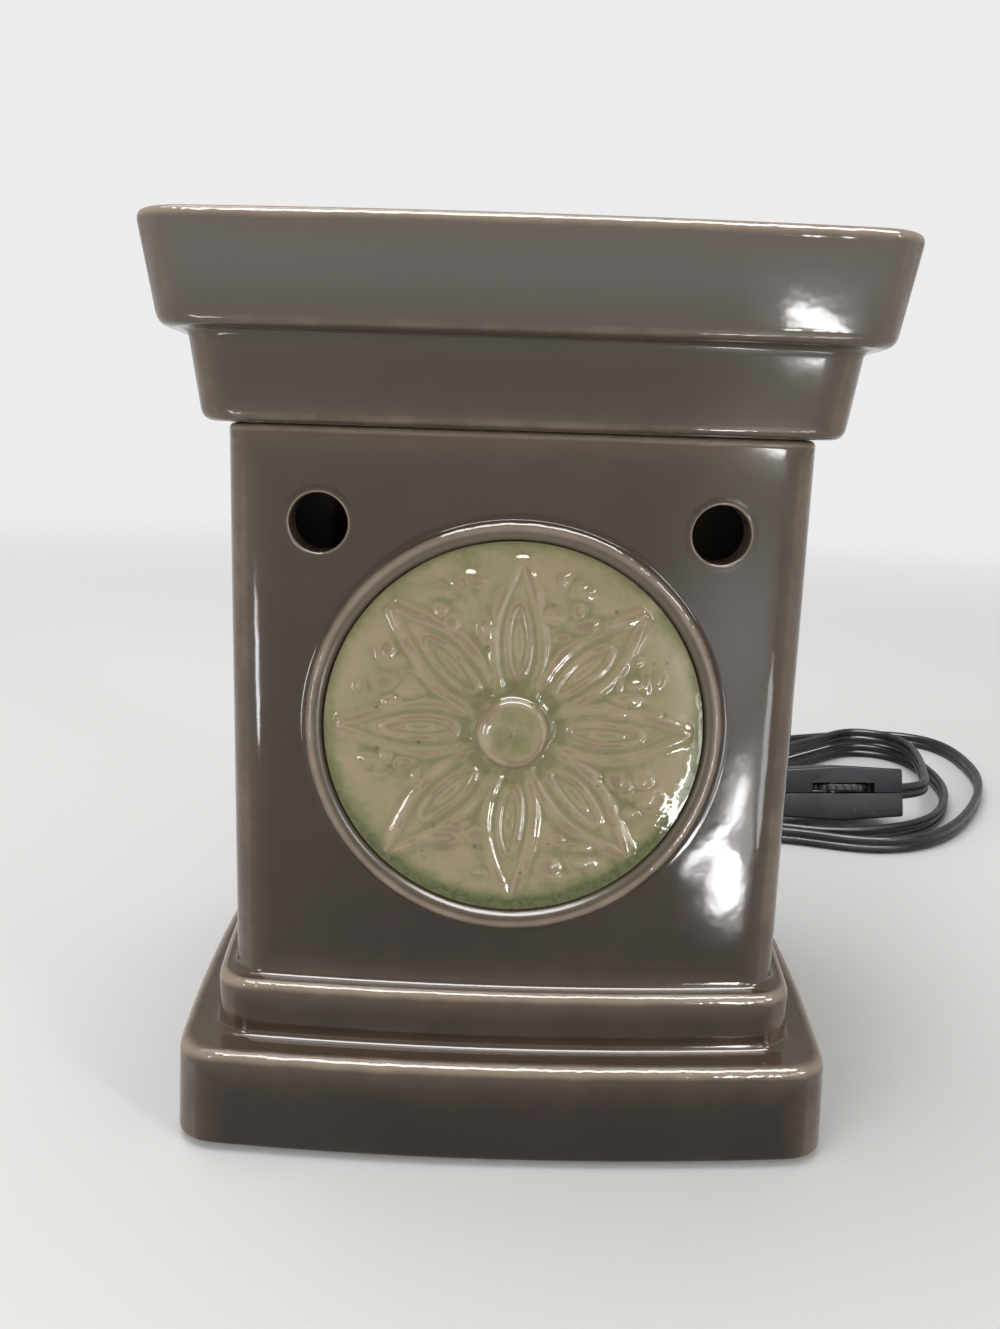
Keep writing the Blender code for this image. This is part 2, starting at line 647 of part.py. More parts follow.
def build_underside(parts):
    """Board that closes the plinth, and the four rubber feet under it."""
    corner = PLINTH_CORNER - COVER_LEDGE
    cover_top = BASE_BOTTOM + COVER_THICKNESS
    profile = [(COVER_HALF, cover_top, corner, 0), (COVER_HALF, BASE_BOTTOM, corner, 0)]
    place("base_cover", lofted_mesh("base_cover", profile), RUBBER, parts)
    spots = {"foot_front_left": (-1, -1), "foot_front_right": (1, -1),
             "foot_back_left": (-1, 1), "foot_back_right": (1, 1)}
    height = BASE_BOTTOM - TOUCH_GAP
    edge = height / 3
    profile = [(0.0, height), (FOOT_RADIUS, height), (FOOT_RADIUS, edge), (FOOT_RADIUS - edge, 0.0), (0.0, 0.0)]
    for name, (across, back) in spots.items():
        foot = turned(name, profile, 24, RUBBER, parts)
        foot.location = (across * FOOT_SPACING / 2, back * FOOT_SPACING / 2, 0)


def build_lamp_holder(parts):
    """Threaded nipple through the floor, its washer and nut, and the lamp socket on top."""
    nipple_low = FLOOR_LEVEL - NIPPLE_BELOW_FLOOR
    nipple_high = CUP_BOTTOM + CUP_BASE - TOUCH_GAP
    turned("lamp_nipple", tube_ring(NIPPLE_BORE, NIPPLE_RADIUS, nipple_low, nipple_high), 24, STEEL, parts, closed=True)
    clear = NIPPLE_RADIUS + TOUCH_GAP
    washer_top = FLOOR_LEVEL - TOUCH_GAP
    washer_low = washer_top - WASHER_THICKNESS
    turned("nipple_washer", tube_ring(clear, WASHER_RADIUS, washer_low, washer_top), 24, STEEL, parts, closed=True)
    nut_top = washer_low - TOUCH_GAP
    nut_radius = NUT_ACROSS_FLATS / math.sqrt(3)

    def hexagon(form):
        bmesh.ops.create_circle(form, segments=24, radius=clear)
        bmesh.ops.create_circle(form, segments=6, radius=nut_radius)
        bmesh.ops.triangle_fill(form, edges=list(form.edges), use_dissolve=False)
        hole = [f for f in form.faces if f.calc_center_median().length < clear * 0.6]
        bmesh.ops.delete(form, geom=hole, context="FACES_ONLY")
        raised = bmesh.ops.extrude_face_region(form, geom=list(form.faces))["geom"]
        top = [item for item in raised if isinstance(item, bmesh.types.BMVert)]
        bmesh.ops.translate(form, verts=top, vec=(0, 0, NUT_THICKNESS))
        bmesh.ops.recalc_face_normals(form, faces=form.faces)
    nut = place("nipple_nut", mesh_from("nipple_nut", hexagon), STEEL, parts)
    nut.location = (0, 0, nut_top - NUT_THICKNESS)

    cup_top = CUP_BOTTOM + CUP_HEIGHT
    chamfer = CUP_RADIUS * 0.12
    profile = [
        (CUP_BORE, cup_top), (CUP_RADIUS - chamfer, cup_top), (CUP_RADIUS, cup_top - chamfer),
        (CUP_RADIUS, CUP_BOTTOM), (clear, CUP_BOTTOM), (clear, CUP_INNER_FLOOR), (CUP_BORE, CUP_INNER_FLOOR),
    ]
    turned("socket_cup", profile, 32, PHENOLIC, parts, closed=True)
    shell_radius = CUP_BORE - TOUCH_GAP
    shell_top = cup_top - TOUCH_GAP
    shell = tube_ring(shell_radius - SHELL_WALL, shell_radius, shell_top - SHELL_HEIGHT, shell_top)
    turned("socket_shell", shell, 32, BRASS, parts, closed=True)

    strip = bpy.data.curves.new("socket_contact", "CURVE")
    strip.dimensions = "2D"
    strip.fill_mode = "BOTH"
    strip.extrude = CONTACT_WIDTH / 2
    reach = CUP_BORE - RUNNING_GAP
    t = CONTACT_THICKNESS
    low = TOUCH_GAP
    outline = [
        (-reach, low), (-clear - t, low), (-t, CONTACT_RISE - t), (TIP_RADIUS, CONTACT_RISE - t),
        (TIP_RADIUS, CONTACT_RISE), (-2 * t, CONTACT_RISE), (-clear - 2 * t, low + t), (-reach, low + t),
    ]
    spline = strip.splines.new("POLY")
    spline.use_cyclic_u = True
    spline.points.add(len(outline) - 1)
    for knot, (x, y) in zip(spline.points, outline):
        knot.co = (x, y, 0.0, 1.0)
    contact = place("socket_contact", strip, BRASS, parts)
    contact.location = (0, 0, CUP_INNER_FLOOR)
    contact.rotation_euler = (math.pi / 2, 0, 0)


def build_lamp(parts):
    """Globe lamp: screw cap, tip contact, glass, stem and filament, all on one turning axis."""
    axis = pose_empty("lamp_axis", (0, 0, LAMP_TIP), (0, 0, 0), parts)
    tip_top = TIP_HEIGHT
    profile = [(0.0, tip_top), (TIP_RADIUS, tip_top), (TIP_RADIUS, tip_top / 2), (TIP_RADIUS / 2, 0.0), (0.0, 0.0)]
    turned("bulb_contact", profile, 20, STEEL, parts, axis)

    nose = tip_top + TOUCH_GAP
    cap_low = nose + CAP_NOSE
    cap_top = cap_low + CAP_HEIGHT
    pocket = cap_top - NECK_SEATING
    well = NECK_RADIUS + TOUCH_GAP
    profile = [
        (0.0, pocket), (well, pocket), (well, cap_top), (CAP_RADIUS, cap_top), (CAP_RADIUS, cap_low),
        (TIP_RADIUS, nose), (0.0, nose),
    ]
    turned("bulb_cap", profile, 28, BRASS, parts, axis)

    neck_low = pocket + TOUCH_GAP
    neck_top = neck_low + NECK_HEIGHT
    start = math.asin(NECK_RADIUS / GLOBE_RADIUS)
    centre = neck_top + GLOBE_RADIUS * math.cos(start)
    outer = [(GLOBE_RADIUS * math.sin(a), centre + GLOBE_RADIUS * math.cos(a))
             for a in np.linspace(0.0, math.pi - start, 12)]
    inside = GLOBE_RADIUS - GLOBE_WALL
    bore = NECK_RADIUS - GLOBE_WALL
    opening = math.asin(bore / inside)
    inner = [(inside * math.sin(a), centre + inside * math.cos(a))
             for a in np.linspace(math.pi - opening, 0.0, 12)]
    profile = outer + [(NECK_RADIUS, neck_low), (bore, neck_low)] + inner
    turned("bulb_glass", profile, 24, GLASS, parts, axis)

    foot = bore - TOUCH_GAP
    stem_low = neck_low + TOUCH_GAP
    stem_top = stem_low + STEM_HEIGHT
    profile = [
        (0.0, stem_top), (STEM_RADIUS * 0.6, stem_top), (STEM_RADIUS, stem_top - STEM_RADIUS),
        (STEM_RADIUS, stem_low + 2 * STEM_RADIUS), (foot, stem_low + STEM_RADIUS), (foot, stem_low), (0.0, stem_low),
    ]
    turned("bulb_stem", profile, 16, GLASS, parts, axis)

    side = STEM_RADIUS * 0.6 + FILAMENT_RADIUS + TOUCH_GAP
    half = FILAMENT_SPAN / 2
    top = stem_top + FILAMENT_RISE
    post = [(side, 0, stem_top - STEM_RADIUS / 3), (side, 0, stem_top + STEM_RADIUS), (half, 0, top)]
    coil = [(half * (1 - t), FILAMENT_WAVE * math.sin(4 * math.pi * t),
             top + FILAMENT_ARCH * math.sin(math.pi * t / 2)) for t in np.linspace(0.1, 1.0, 10)]
    left = [(-x, -y, z) for x, y, z in reversed(post + coil[:-1])]
    round_wire("bulb_filament", post + coil + left, FILAMENT_RADIUS, STEEL, parts, axis, sides=1)


def build_lead(parts):
    """Strain relief, inner wires and the flat lead with its loops."""
    wall = bowed_depth(PLINTH_HALF_HIGH, 0)
    inside = bowed_depth(CAVITY_HALF, 0)
    flange_low = TOUCH_GAP
    flange_high = flange_low + RELIEF_FLANGE_THICKNESS
    tip = flange_high + RELIEF_LENGTH
    tail = inside - wall - RELIEF_NECK
    profile = [(0.0, tip), (RELIEF_TIP, tip), (RELIEF_ROOT, flange_high), (RELIEF_FLANGE, flange_high),
               (RELIEF_FLANGE, flange_low), (RELIEF_NECK, flange_low), (RELIEF_NECK, tail), (0.0, tail)]
    relief = turned("strain_relief", profile, 24, RUBBER, parts)
    outside = bowed_depth(PLINTH_HALF_LOW, 0)
    relief.matrix_world = (Matrix.Translation((0, outside, CORD_EXIT_HEIGHT))
                           @ Matrix.Rotation(-math.pi / 2, 4, "X"))

    wire_start = outside + tail - TOUCH_GAP
    low = FLOOR_LEVEL - NIPPLE_BELOW_FLOOR - 3 * WIRE_RADIUS
    bend = 3 * WIRE_RADIUS
    for name, side in (("wire_live", -1), ("wire_neutral", 1)):
        x = side * WIRE_SPACING / 2
        route = [
            (x, wire_start, CORD_EXIT_HEIGHT), (x, wire_start - bend, CORD_EXIT_HEIGHT),
            (x, wire_start / 2, low), (x, 2 * bend, low), (x, bend, low + bend / 4),
            (x, bend / 3, low + bend), (x, 0, low + 2 * bend), (x, 0, CUP_INNER_FLOOR - bend),
        ]
        round_wire(name, cubic_route(route, 3 * WIRE_RADIUS), WIRE_RADIUS, RUBBER, parts, sides=1)

    lying = CORD_WIDTH / 2 + LYING_GAP
    along = Matrix.Rotation(SWITCH_TURN, 3, "Z") @ Vector((1, 0, 0))
    reach = SWITCH_LENGTH / 2 + TOUCH_GAP
    into_switch = SWITCH_CENTRE - along * reach
    out_of_switch = SWITCH_CENTRE + along * reach
    leaving = Vector((0, outside + tip + TOUCH_GAP, CORD_EXIT_HEIGHT))
    into_plug = PLUG_END + Vector((0, TOUCH_GAP, 0))
    loop_points = [(x, y, lying) for x, y in LOOP_ROUTE] + SWITCH_RUN_RISE + [into_switch - along * STUB]
    tail_points = [out_of_switch + along * STUB] + TAIL_ROUTE + [into_plug + Vector((0, STUB, 0))]
    fine = CORD_STEP / 4
    stretches = []
    for name, first, points, last in (
        ("cord_lead", [leaving], LEAD_ROUTE, []),
        ("cord_loops", [], loop_points, [into_switch]),
        ("cord_tail", [out_of_switch], tail_points, [into_plug]),
    ):
        flat_lead(name, [*first, *lead_route(points, CORD_STEP), *last], BLACK_PLASTIC, parts)
        stretches.append(np.array([*first, *lead_route(points, fine), *last]))
    length = sum(np.linalg.norm(np.diff(run, axis=0), axis=1).sum() for run in stretches)
    print(f"least gap of the loops to themselves: {lead_gap(stretches[1], fine) * 1000:.2f} mm")
    print(f"least gap of the whole lead: {lead_gap(np.concatenate(stretches), fine) * 1000:.2f} mm")
    print(f"lead length, without switch and plug: {length:.3f} m")


def build_switch(parts, cutters):
    """In-line switch: two shells round a notched thumb wheel on its axle, held by one screw."""
    pose = pose_empty("switch_pose", SWITCH_CENTRE, (SWITCH_LEAN, 0, SWITCH_TURN), parts)
    pose.rotation_mode = "XYZ"
    half_length = SWITCH_LENGTH / 2
    half_depth = SWITCH_DEPTH / 2
    parting = TOUCH_GAP / 2

    def half_shell(form):
        sections = []
        for x in (-half_length, 0.0, half_length):
            crown = SWITCH_THICKNESS / 2 if x == 0 else SWITCH_END_THICKNESS / 2
            corners = ((-half_depth, parting), (half_depth, parting), (half_depth, crown), (-half_depth, crown))
            sections.append([form.verts.new((x, y, z)) for y, z in corners])
        for near, far in zip(sections, sections[1:]):
            for i in range(4):
                j = (i + 1) % 4
                form.faces.new((near[i], near[j], far[j], far[i]))
        form.faces.new(sections[0])
        form.faces.new(reversed(sections[-1]))
        bmesh.ops.recalc_face_normals(form, faces=form.faces)
        crowned = [e for e in form.edges if any(v.co.z > 2 * parting for v in e.verts) and e.calc_face_angle() > 0.5]
        bmesh.ops.bevel(form, geom=crowned, offset=SWITCH_EDGE, segments=2, profile=0.5, affect="EDGES")

    pocket_height = WHEEL_THICKNESS + 2 * RUNNING_GAP
    wheel_level = parting + pocket_height / 2
    pocket = cylinder_mesh("wheel_pocket", WHEEL_RADIUS + RUNNING_GAP, pocket_height, 40)
    slot = block_mesh("wheel_slot", (SLOT_LENGTH, 2 * SLOT_SINK, pocket_height))
    slot.transform(Matrix.Translation((0, -half_depth, 0)))
    for mesh in (pocket, slot):
        mesh.transform(Matrix.Translation((0, 0, wheel_level)))
    axle_hole = cylinder_mesh("axle_hole", AXLE_RADIUS + TOUCH_GAP, AXLE_LENGTH + 2 * TOUCH_GAP, 16)
    screw_tip = SCREW_REACH / 2
    screw_head = SWITCH_END_THICKNESS / 2
    screw_hole = cylinder_mesh("screw_hole", SCREW_RADIUS + TOUCH_GAP, 2 * (screw_tip + TOUCH_GAP), 16)
    screw_hole.transform(Matrix.Translation((*SCREW_OFFSET, 0)))
    head_well = cylinder_mesh("screw_well", SCREW_HEAD_RADIUS + TOUCH_GAP, 2 * screw_head, 20)
    head_well.transform(Matrix.Translation((*SCREW_OFFSET, -screw_tip - screw_head)))
    cuts = {}
    for mesh in (pocket, slot, axle_hole, screw_hole, head_well):
        cutter = hidden_cutter(mesh.name, mesh, cutters)
        cutter.parent = pose
        cuts[mesh.name] = cutter

    upper = place("switch_upper_shell", mesh_from("switch_upper_shell", half_shell), BLACK_PLASTIC, parts, pose)
    for name in ("wheel_pocket", "wheel_slot", "axle_hole", "screw_hole"):
        boolean(upper, cuts[name])
    lower_mesh = mesh_from("switch_lower_shell", half_shell)
    lower_mesh.transform(Matrix.Rotation(math.pi, 4, "X"))
    lower = place("switch_lower_shell", lower_mesh, BLACK_PLASTIC, parts, pose)
    for name in ("axle_hole", "screw_hole", "screw_well"):
        boolean(lower, cuts[name])

    notches = []
    for i in range(2 * WHEEL_NOTCHES):
        radius = WHEEL_RADIUS - (WHEEL_NOTCH_DEPTH if i % 2 else 0.0)
        angle = math.pi * i / WHEEL_NOTCHES
        notches.append((radius * math.cos(angle), radius * math.sin(angle)))
    disc = bpy.data.curves.new("switch_wheel", "CURVE")
    disc.dimensions = "2D"
    disc.fill_mode = "BOTH"
    disc.extrude = WHEEL_THICKNESS / 2
    bore = [((AXLE_RADIUS + TOUCH_GAP) * math.cos(a), (AXLE_RADIUS + TOUCH_GAP) * math.sin(a))
            for a in np.linspace(0, 2 * math.pi, 16, endpoint=False)]
    for outline in (notches, bore):
        spline = disc.splines.new("POLY")
        spline.use_cyclic_u = True
        spline.points.add(len(outline) - 1)
        for knot, (x, y) in zip(spline.points, outline):
            knot.co = (x, y, 0.0, 1.0)
    wheel = place("switch_wheel", disc, BLACK_PLASTIC, parts, pose)
    wheel.location = (0, 0, wheel_level)

    half_axle = AXLE_LENGTH / 2
    turned("switch_axle", [(0.0, half_axle), (AXLE_RADIUS, half_axle), (AXLE_RADIUS, -half_axle), (0.0, -half_axle)],
           16, STEEL, parts, pose)
    head_top = -screw_tip - TOUCH_GAP
    profile = [(0.0, screw_tip), (SCREW_RADIUS, screw_tip), (SCREW_RADIUS, head_top), (SCREW_HEAD_RADIUS, head_top),
               (SCREW_HEAD_RADIUS, head_top - SCREW_HEAD_DEPTH), (0.0, head_top - SCREW_HEAD_DEPTH)]
    screw = turned("switch_screw", profile, 16, STEEL, parts, pose)
    screw.location = (*SCREW_OFFSET, 0)


def build_plug(parts, cutters):
    """Two-blade plug lying behind the body, its neck towards the lead."""
    spot = pose_empty("plug_pose", PLUG_END, (0, 0, 0), parts)
    sections = ((0.0, PLUG_NECK_WIDTH, PLUG_NECK_THICKNESS), (0.25, PLUG_NECK_WIDTH, PLUG_NECK_THICKNESS),
                (0.50, PLUG_WIDTH, PLUG_THICKNESS), (1.0, PLUG_WIDTH, PLUG_THICKNESS))

    def body(form):
        rings = []
        for share, width, thickness in sections:
            corners = ((-1, -1), (1, -1), (1, 1), (-1, 1))
            y = -share * PLUG_LENGTH
            rings.append([form.verts.new((a * width / 2, y, b * thickness / 2)) for a, b in corners])
        for near, far in zip(rings, rings[1:]):
            for i in range(4):
                j = (i + 1) % 4
                form.faces.new((near[i], near[j], far[j], far[i]))
        form.faces.new(rings[0])
        form.faces.new(reversed(rings[-1]))
        bmesh.ops.recalc_face_normals(form, faces=form.faces)
        long_edges = [e for e in form.edges if abs(e.verts[0].co.y - e.verts[1].co.y) > TOUCH_GAP]
        bmesh.ops.bevel(form, geom=long_edges, offset=PLUG_NECK_THICKNESS / 4, segments=2, profile=0.5,
                        affect="EDGES", clamp_overlap=True)
    plug = place("plug_body", mesh_from("plug_body", body), BLACK_PLASTIC, parts, spot)
    total = BLADE_LENGTH + BLADE_SINK
    middle = -PLUG_LENGTH + BLADE_SINK - total / 2
    for name, side in (("plug_blade_left", -1), ("plug_blade_right", 1)):
        x = side * BLADE_SPACING / 2
        slot_size = (BLADE_THICKNESS + 2 * TOUCH_GAP, total + 2 * TOUCH_GAP, BLADE_WIDTH + 2 * TOUCH_GAP)
        slot = hidden_cutter(name + "_slot", block_mesh(name + "_slot", slot_size), cutters)
        slot.parent = spot
        slot.location = (x, middle, 0)
        boolean(plug, slot)
        size = (BLADE_THICKNESS, total, BLADE_WIDTH)
        blade = place(name, block_mesh(name, size, BLADE_THICKNESS / 5), BRASS, parts, spot)
        blade.location = (x, middle, 0)


def main():
    """Build every piece of the warmer."""
    clear_scene()
    parts = new_collection("wax_warmer")
    cutters = new_collection("cutters")
    build_body(parts, cutters)
    build_medallion(parts, cutters)
    build_dish(parts)
    build_underside(parts)
    build_lamp_holder(parts)
    build_lamp(parts)
    build_lead(parts)
    build_switch(parts, cutters)
    build_plug(parts, cutters)
    bpy.context.view_layer.update()


main()
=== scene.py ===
"""Looks of the square-column wax warmer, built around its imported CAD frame.

The glazed body, the wax dish, the rosette, the lamp, the switch and the lead are modelled here as
finer pieces that stand for the plain CAD solids. Metres, +Z up, front towards -Y.
"""

import math

import bmesh
import bpy
import numpy as np
from bpy.props import FloatProperty, FloatVectorProperty, IntProperty, PointerProperty
from mathutils import Matrix, Vector


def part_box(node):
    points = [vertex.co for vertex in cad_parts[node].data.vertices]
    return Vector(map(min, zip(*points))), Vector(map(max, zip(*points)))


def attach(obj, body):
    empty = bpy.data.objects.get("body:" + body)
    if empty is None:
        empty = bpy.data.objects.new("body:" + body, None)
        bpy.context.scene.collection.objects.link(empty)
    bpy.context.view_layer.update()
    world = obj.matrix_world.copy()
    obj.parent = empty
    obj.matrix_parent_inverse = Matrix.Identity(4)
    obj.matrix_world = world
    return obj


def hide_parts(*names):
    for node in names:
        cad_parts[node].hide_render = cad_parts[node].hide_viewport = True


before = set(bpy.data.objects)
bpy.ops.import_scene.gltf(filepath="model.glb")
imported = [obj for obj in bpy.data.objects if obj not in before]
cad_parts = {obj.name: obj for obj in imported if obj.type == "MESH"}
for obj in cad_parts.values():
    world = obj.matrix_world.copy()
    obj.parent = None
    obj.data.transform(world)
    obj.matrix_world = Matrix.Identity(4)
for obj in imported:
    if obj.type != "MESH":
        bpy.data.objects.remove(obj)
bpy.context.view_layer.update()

bl_info = {
    "name": "Wax Warmer Looks",
    "version": (1, 0, 0),
    "blender": (4, 5, 0),
    "location": "View3D > Sidebar > Warmer",
    "description": "Dresses the CAD frame of a ceramic wax warmer with fine pieces and finishes",
    "category": "Object",
}

MM = 0.001

# Levels and half-widths of the ceramic tiers, as in the CAD frame
BASE_BOTTOM = 1.2 * MM
PLINTH_TOP = 19.5 * MM
STEP_TOP = 30.4 * MM
COLUMN_TOP = 131.3 * MM
DISH_BOTTOM = 131.33 * MM
COLLAR_TOP = 146.2 * MM
RIM_TOP = 164.0 * MM
PLINTH_LOW = 60.0 * MM
PLINTH_HIGH = 59.5 * MM
STEP_HALF = 53.4 * MM
COLUMN_HALF = 50.5 * MM
COLUMN_INSIDE = 44.5 * MM
CAVITY_HALF = 52.0 * MM
COVER_HALF = 55.0 * MM
FLOOR_LOW = 15.0 * MM
FLOOR_HIGH = 21.5 * MM
COLLAR_LOW = 54.2 * MM
COLLAR_HIGH = 56.0 * MM
RIM_LOW = 59.8 * MM
RIM_HIGH = 62.4 * MM
BASIN_HALF = 51.2 * MM
BASIN_TOP_HALF = 57.2 * MM
BASIN_FLOOR = 144.1 * MM
LIP_OUTSIDE = 43.7 * MM
LIP_INSIDE = 40.5 * MM
BOW = 0.0555
CORNER_SHARE = 0.115
EDGE_ROUND = 2.0 * MM
EDGE_FADE = (0.4 * MM, 1.0 * MM, 1.9 * MM, 3.2 * MM, 5.2 * MM)

# Rosette and vents
ROSETTE_HEIGHT = 79.3 * MM
ROSETTE_RADIUS = 33.5 * MM
SEAT_RADIUS = 33.8 * MM
SEAT_FLOOR = -50.0 * MM
ROSETTE_FRONT = -53.5 * MM
BOSS_RADIUS = 6.0 * MM
DISC_CELLS = 236
EYE_AT = 16.3 * MM
PETAL_AT = np.array([6.3, 8.0, 10.0, 12.5, 16.0, 19.0, 22.0, 25.0, 28.0, 30.2, 31.6]) * MM
PETAL_HALF = np.array([2.2, 2.9, 3.6, 4.2, 4.5, 4.3, 3.7, 2.8, 1.6, 0.7, 0.0]) * MM
VENT_HEIGHT = 114.9 * MM
VENT_OFFSET = 34.6 * MM
RELIEF_SEED = 7
LUMPS_PER_GAP = 7
PITS_PER_GAP = 5
PILLOW_FROM = 27.0 * MM

# Finishes: how often values are passed on to neighbours, and looks that several share
EDGE_BLUR = 7
GLOW_REACH = 20
NEAR_BLUR = 12
WIDE_BLUR = 60
GLAZE_RIPPLE = 0.2 * MM
DUST = (0.20, 0.19, 0.18)

# Stage: the camera's focal length is in pixels of the photograph's height
FLOOR_SIZE = 24.0
SENSOR = 36.0
FOCAL_PIXELS = 1150
PHOTO_HEIGHT = 1329

# Holes for the lamp's nipple and for the lead
NIPPLE_HOLE = 5.1 * MM
CORD_HOLE = 3.8 * MM

# Lead, switch and plug, as in the CAD frame
CORD_EXIT = Vector((0.0, 0.08504, 0.0085))
SWITCH_CENTRE = Vector((0.1135, 0.1300, 0.0120))
SWITCH_LEAN = math.radians(-16)
SWITCH_TURN = math.radians(6)
SWITCH_LENGTH = 42.0 * MM
SWITCH_WIDTH = 21.0 * MM
PARTING = 0.15 * MM
SCREW_AT = (16.0 * MM, 4.5 * MM)
AXLE_BORE = 1.9 * MM
NOTCHES = 24
SLEEVE_RIBS = 6
SHARP = 0.4  # radians
PLUG_END = Vector((-0.0460, 0.1247, 0.0071))
STUB = 3.0 * MM
TOUCH_GAP = 0.3 * MM
LYING = 2.9 * MM

LEAD_ROUTE = [
    (0.000, 0.0890, 0.0085), (0.0040, 0.1000, 0.0078), (0.0150, 0.1082, 0.0058),
    (0.0320, 0.1112, 0.0038), (0.0520, 0.1118, 0.0029), (0.0730, 0.1120, 0.0029),
]
LOOP_ROUTE = [
    (0.0928, 0.1107), (0.106, 0.1070), (0.120, 0.1040), (0.136, 0.1075), (0.154, 0.1225),
    (0.1705, 0.147), (0.180, 0.166), (0.1865, 0.186), (0.189, 0.206), (0.188, 0.223),
    (0.182, 0.234), (0.171, 0.239), (0.155, 0.238), (0.130, 0.230), (0.100, 0.219),
    (0.060, 0.211), (0.025, 0.204), (-0.005, 0.190), (-0.022, 0.168), (-0.024, 0.146),
    (-0.010, 0.127), (0.015, 0.1185), (0.045, 0.1170), (0.075, 0.1168), (0.093, 0.1152),
    (0.106, 0.1124), (0.120, 0.1134), (0.133, 0.1178), (0.148, 0.1285), (0.160, 0.148),
    (0.1665, 0.168), (0.1682, 0.186), (0.1668, 0.203), (0.1600, 0.2150), (0.1480, 0.2180),
    (0.1345, 0.2100), (0.117, 0.1945), (0.097, 0.1790), (0.075, 0.1730), (0.053, 0.1680),
    (0.037, 0.1560), (0.036, 0.1400), (0.048, 0.1285),
]
RISE_TO_SWITCH = (0.066, 0.1240, 0.0062)
TAIL_ROUTE = [
    (0.1493, 0.1420, 0.0109), (0.1549, 0.1555, 0.0102), (0.1598, 0.1725, 0.0096), (0.1635, 0.1900, 0.0093),
    (0.1638, 0.2045, 0.0092), (0.1575, 0.2155, 0.0092), (0.1465, 0.2180, 0.0092), (0.1345, 0.2100, 0.0092),
    (0.117, 0.1945, 0.0092), (0.097, 0.1795, 0.0092), (0.075, 0.1740, 0.0088), (0.050, 0.1765, 0.0058),
    (0.026, 0.1780, 0.0036), (0.006, 0.1765, 0.0048), (-0.010, 0.1715, 0.0082), (-0.024, 0.1620, 0.0093),
    (-0.037, 0.1480, 0.0080),
]
ROUTE_STEP = 2.5 * MM

# Lamps: name, what it lights, place, aim, size, watts, lean in degrees. Those that only the gloss shows
# stand for windows; AHEAD ones face straight back, and small ones are oval.
AHEAD = None
RIM_END = (0.0456, -0.0618, 0.150)
OVAL_BELOW = 0.2
LAMPS = (
    ("overhead", "light", (-0.25, 0.10, 1.30), (0, 0, 0.08), (0.90, 0.90), 7.6, 0),
    ("front_left", "light", (-0.85, -1.05, 0.60), (0, 0, 0.08), (0.70, 0.80), 6.8, 0),
    ("right_window", "light", (0.80, -0.75, 0.42), (0.02, -0.05, 0.08), (0.16, 0.30), 2.6, 0),
    ("ceiling_gloss", "gloss", (0.10, -0.42, 1.00), (0.03, -0.05, 0.08), (1.20, 0.52), 36.0, 0),
    ("window_top", "gloss", (0.0829, -0.150, 0.0340), AHEAD, (0.0038, 0.0190), 0.0066, -15),
    ("window_bend", "gloss", (0.0737, -0.150, 0.0208), AHEAD, (0.0042, 0.0250), 0.0096, -50),
    ("window_foot", "gloss", (0.0811, -0.150, 0.0085), AHEAD, (0.0140, 0.0235), 0.0280, 14),
    ("window_haze", "gloss", (0.0876, -0.151, 0.0201), AHEAD, (0.0150, 0.0340), 0.0048, 6),
    ("window_glow", "gloss", (0.0900, -0.152, 0.0240), AHEAD, (0.0260, 0.0560), 0.0046, 6),
    ("rim_gloss", "gloss", (0.0815, -0.140, 0.131), RIM_END, (0.021, 0.0065), 0.0085, -16),
    ("window_side", "gloss", (0.1100, -0.150, 0.0420), AHEAD, (0.0200, 0.0560), 0.0190, 0),
    ("right_veil", "gloss", (0.0800, -0.153, 0.0740), AHEAD, (0.1100, 0.1700), 0.0860, 0),
    ("rim_veil", "gloss", (0.0850, -0.1415, 0.130), RIM_END, (0.080, 0.036), 0.0110, -16),
    ("left_gloss", "gloss", (-0.1110, -0.150, 0.0640), AHEAD, (0.0120, 0.0460), 0.0240, 10),
)

# Filled in by the operators: finishes by name
FINISH = {}


def glaze_colour(name, description, default):
    """A colour that a user may change."""
    return FloatVectorProperty(
        name=name, description=description, subtype="COLOR", min=0, max=1, default=default)


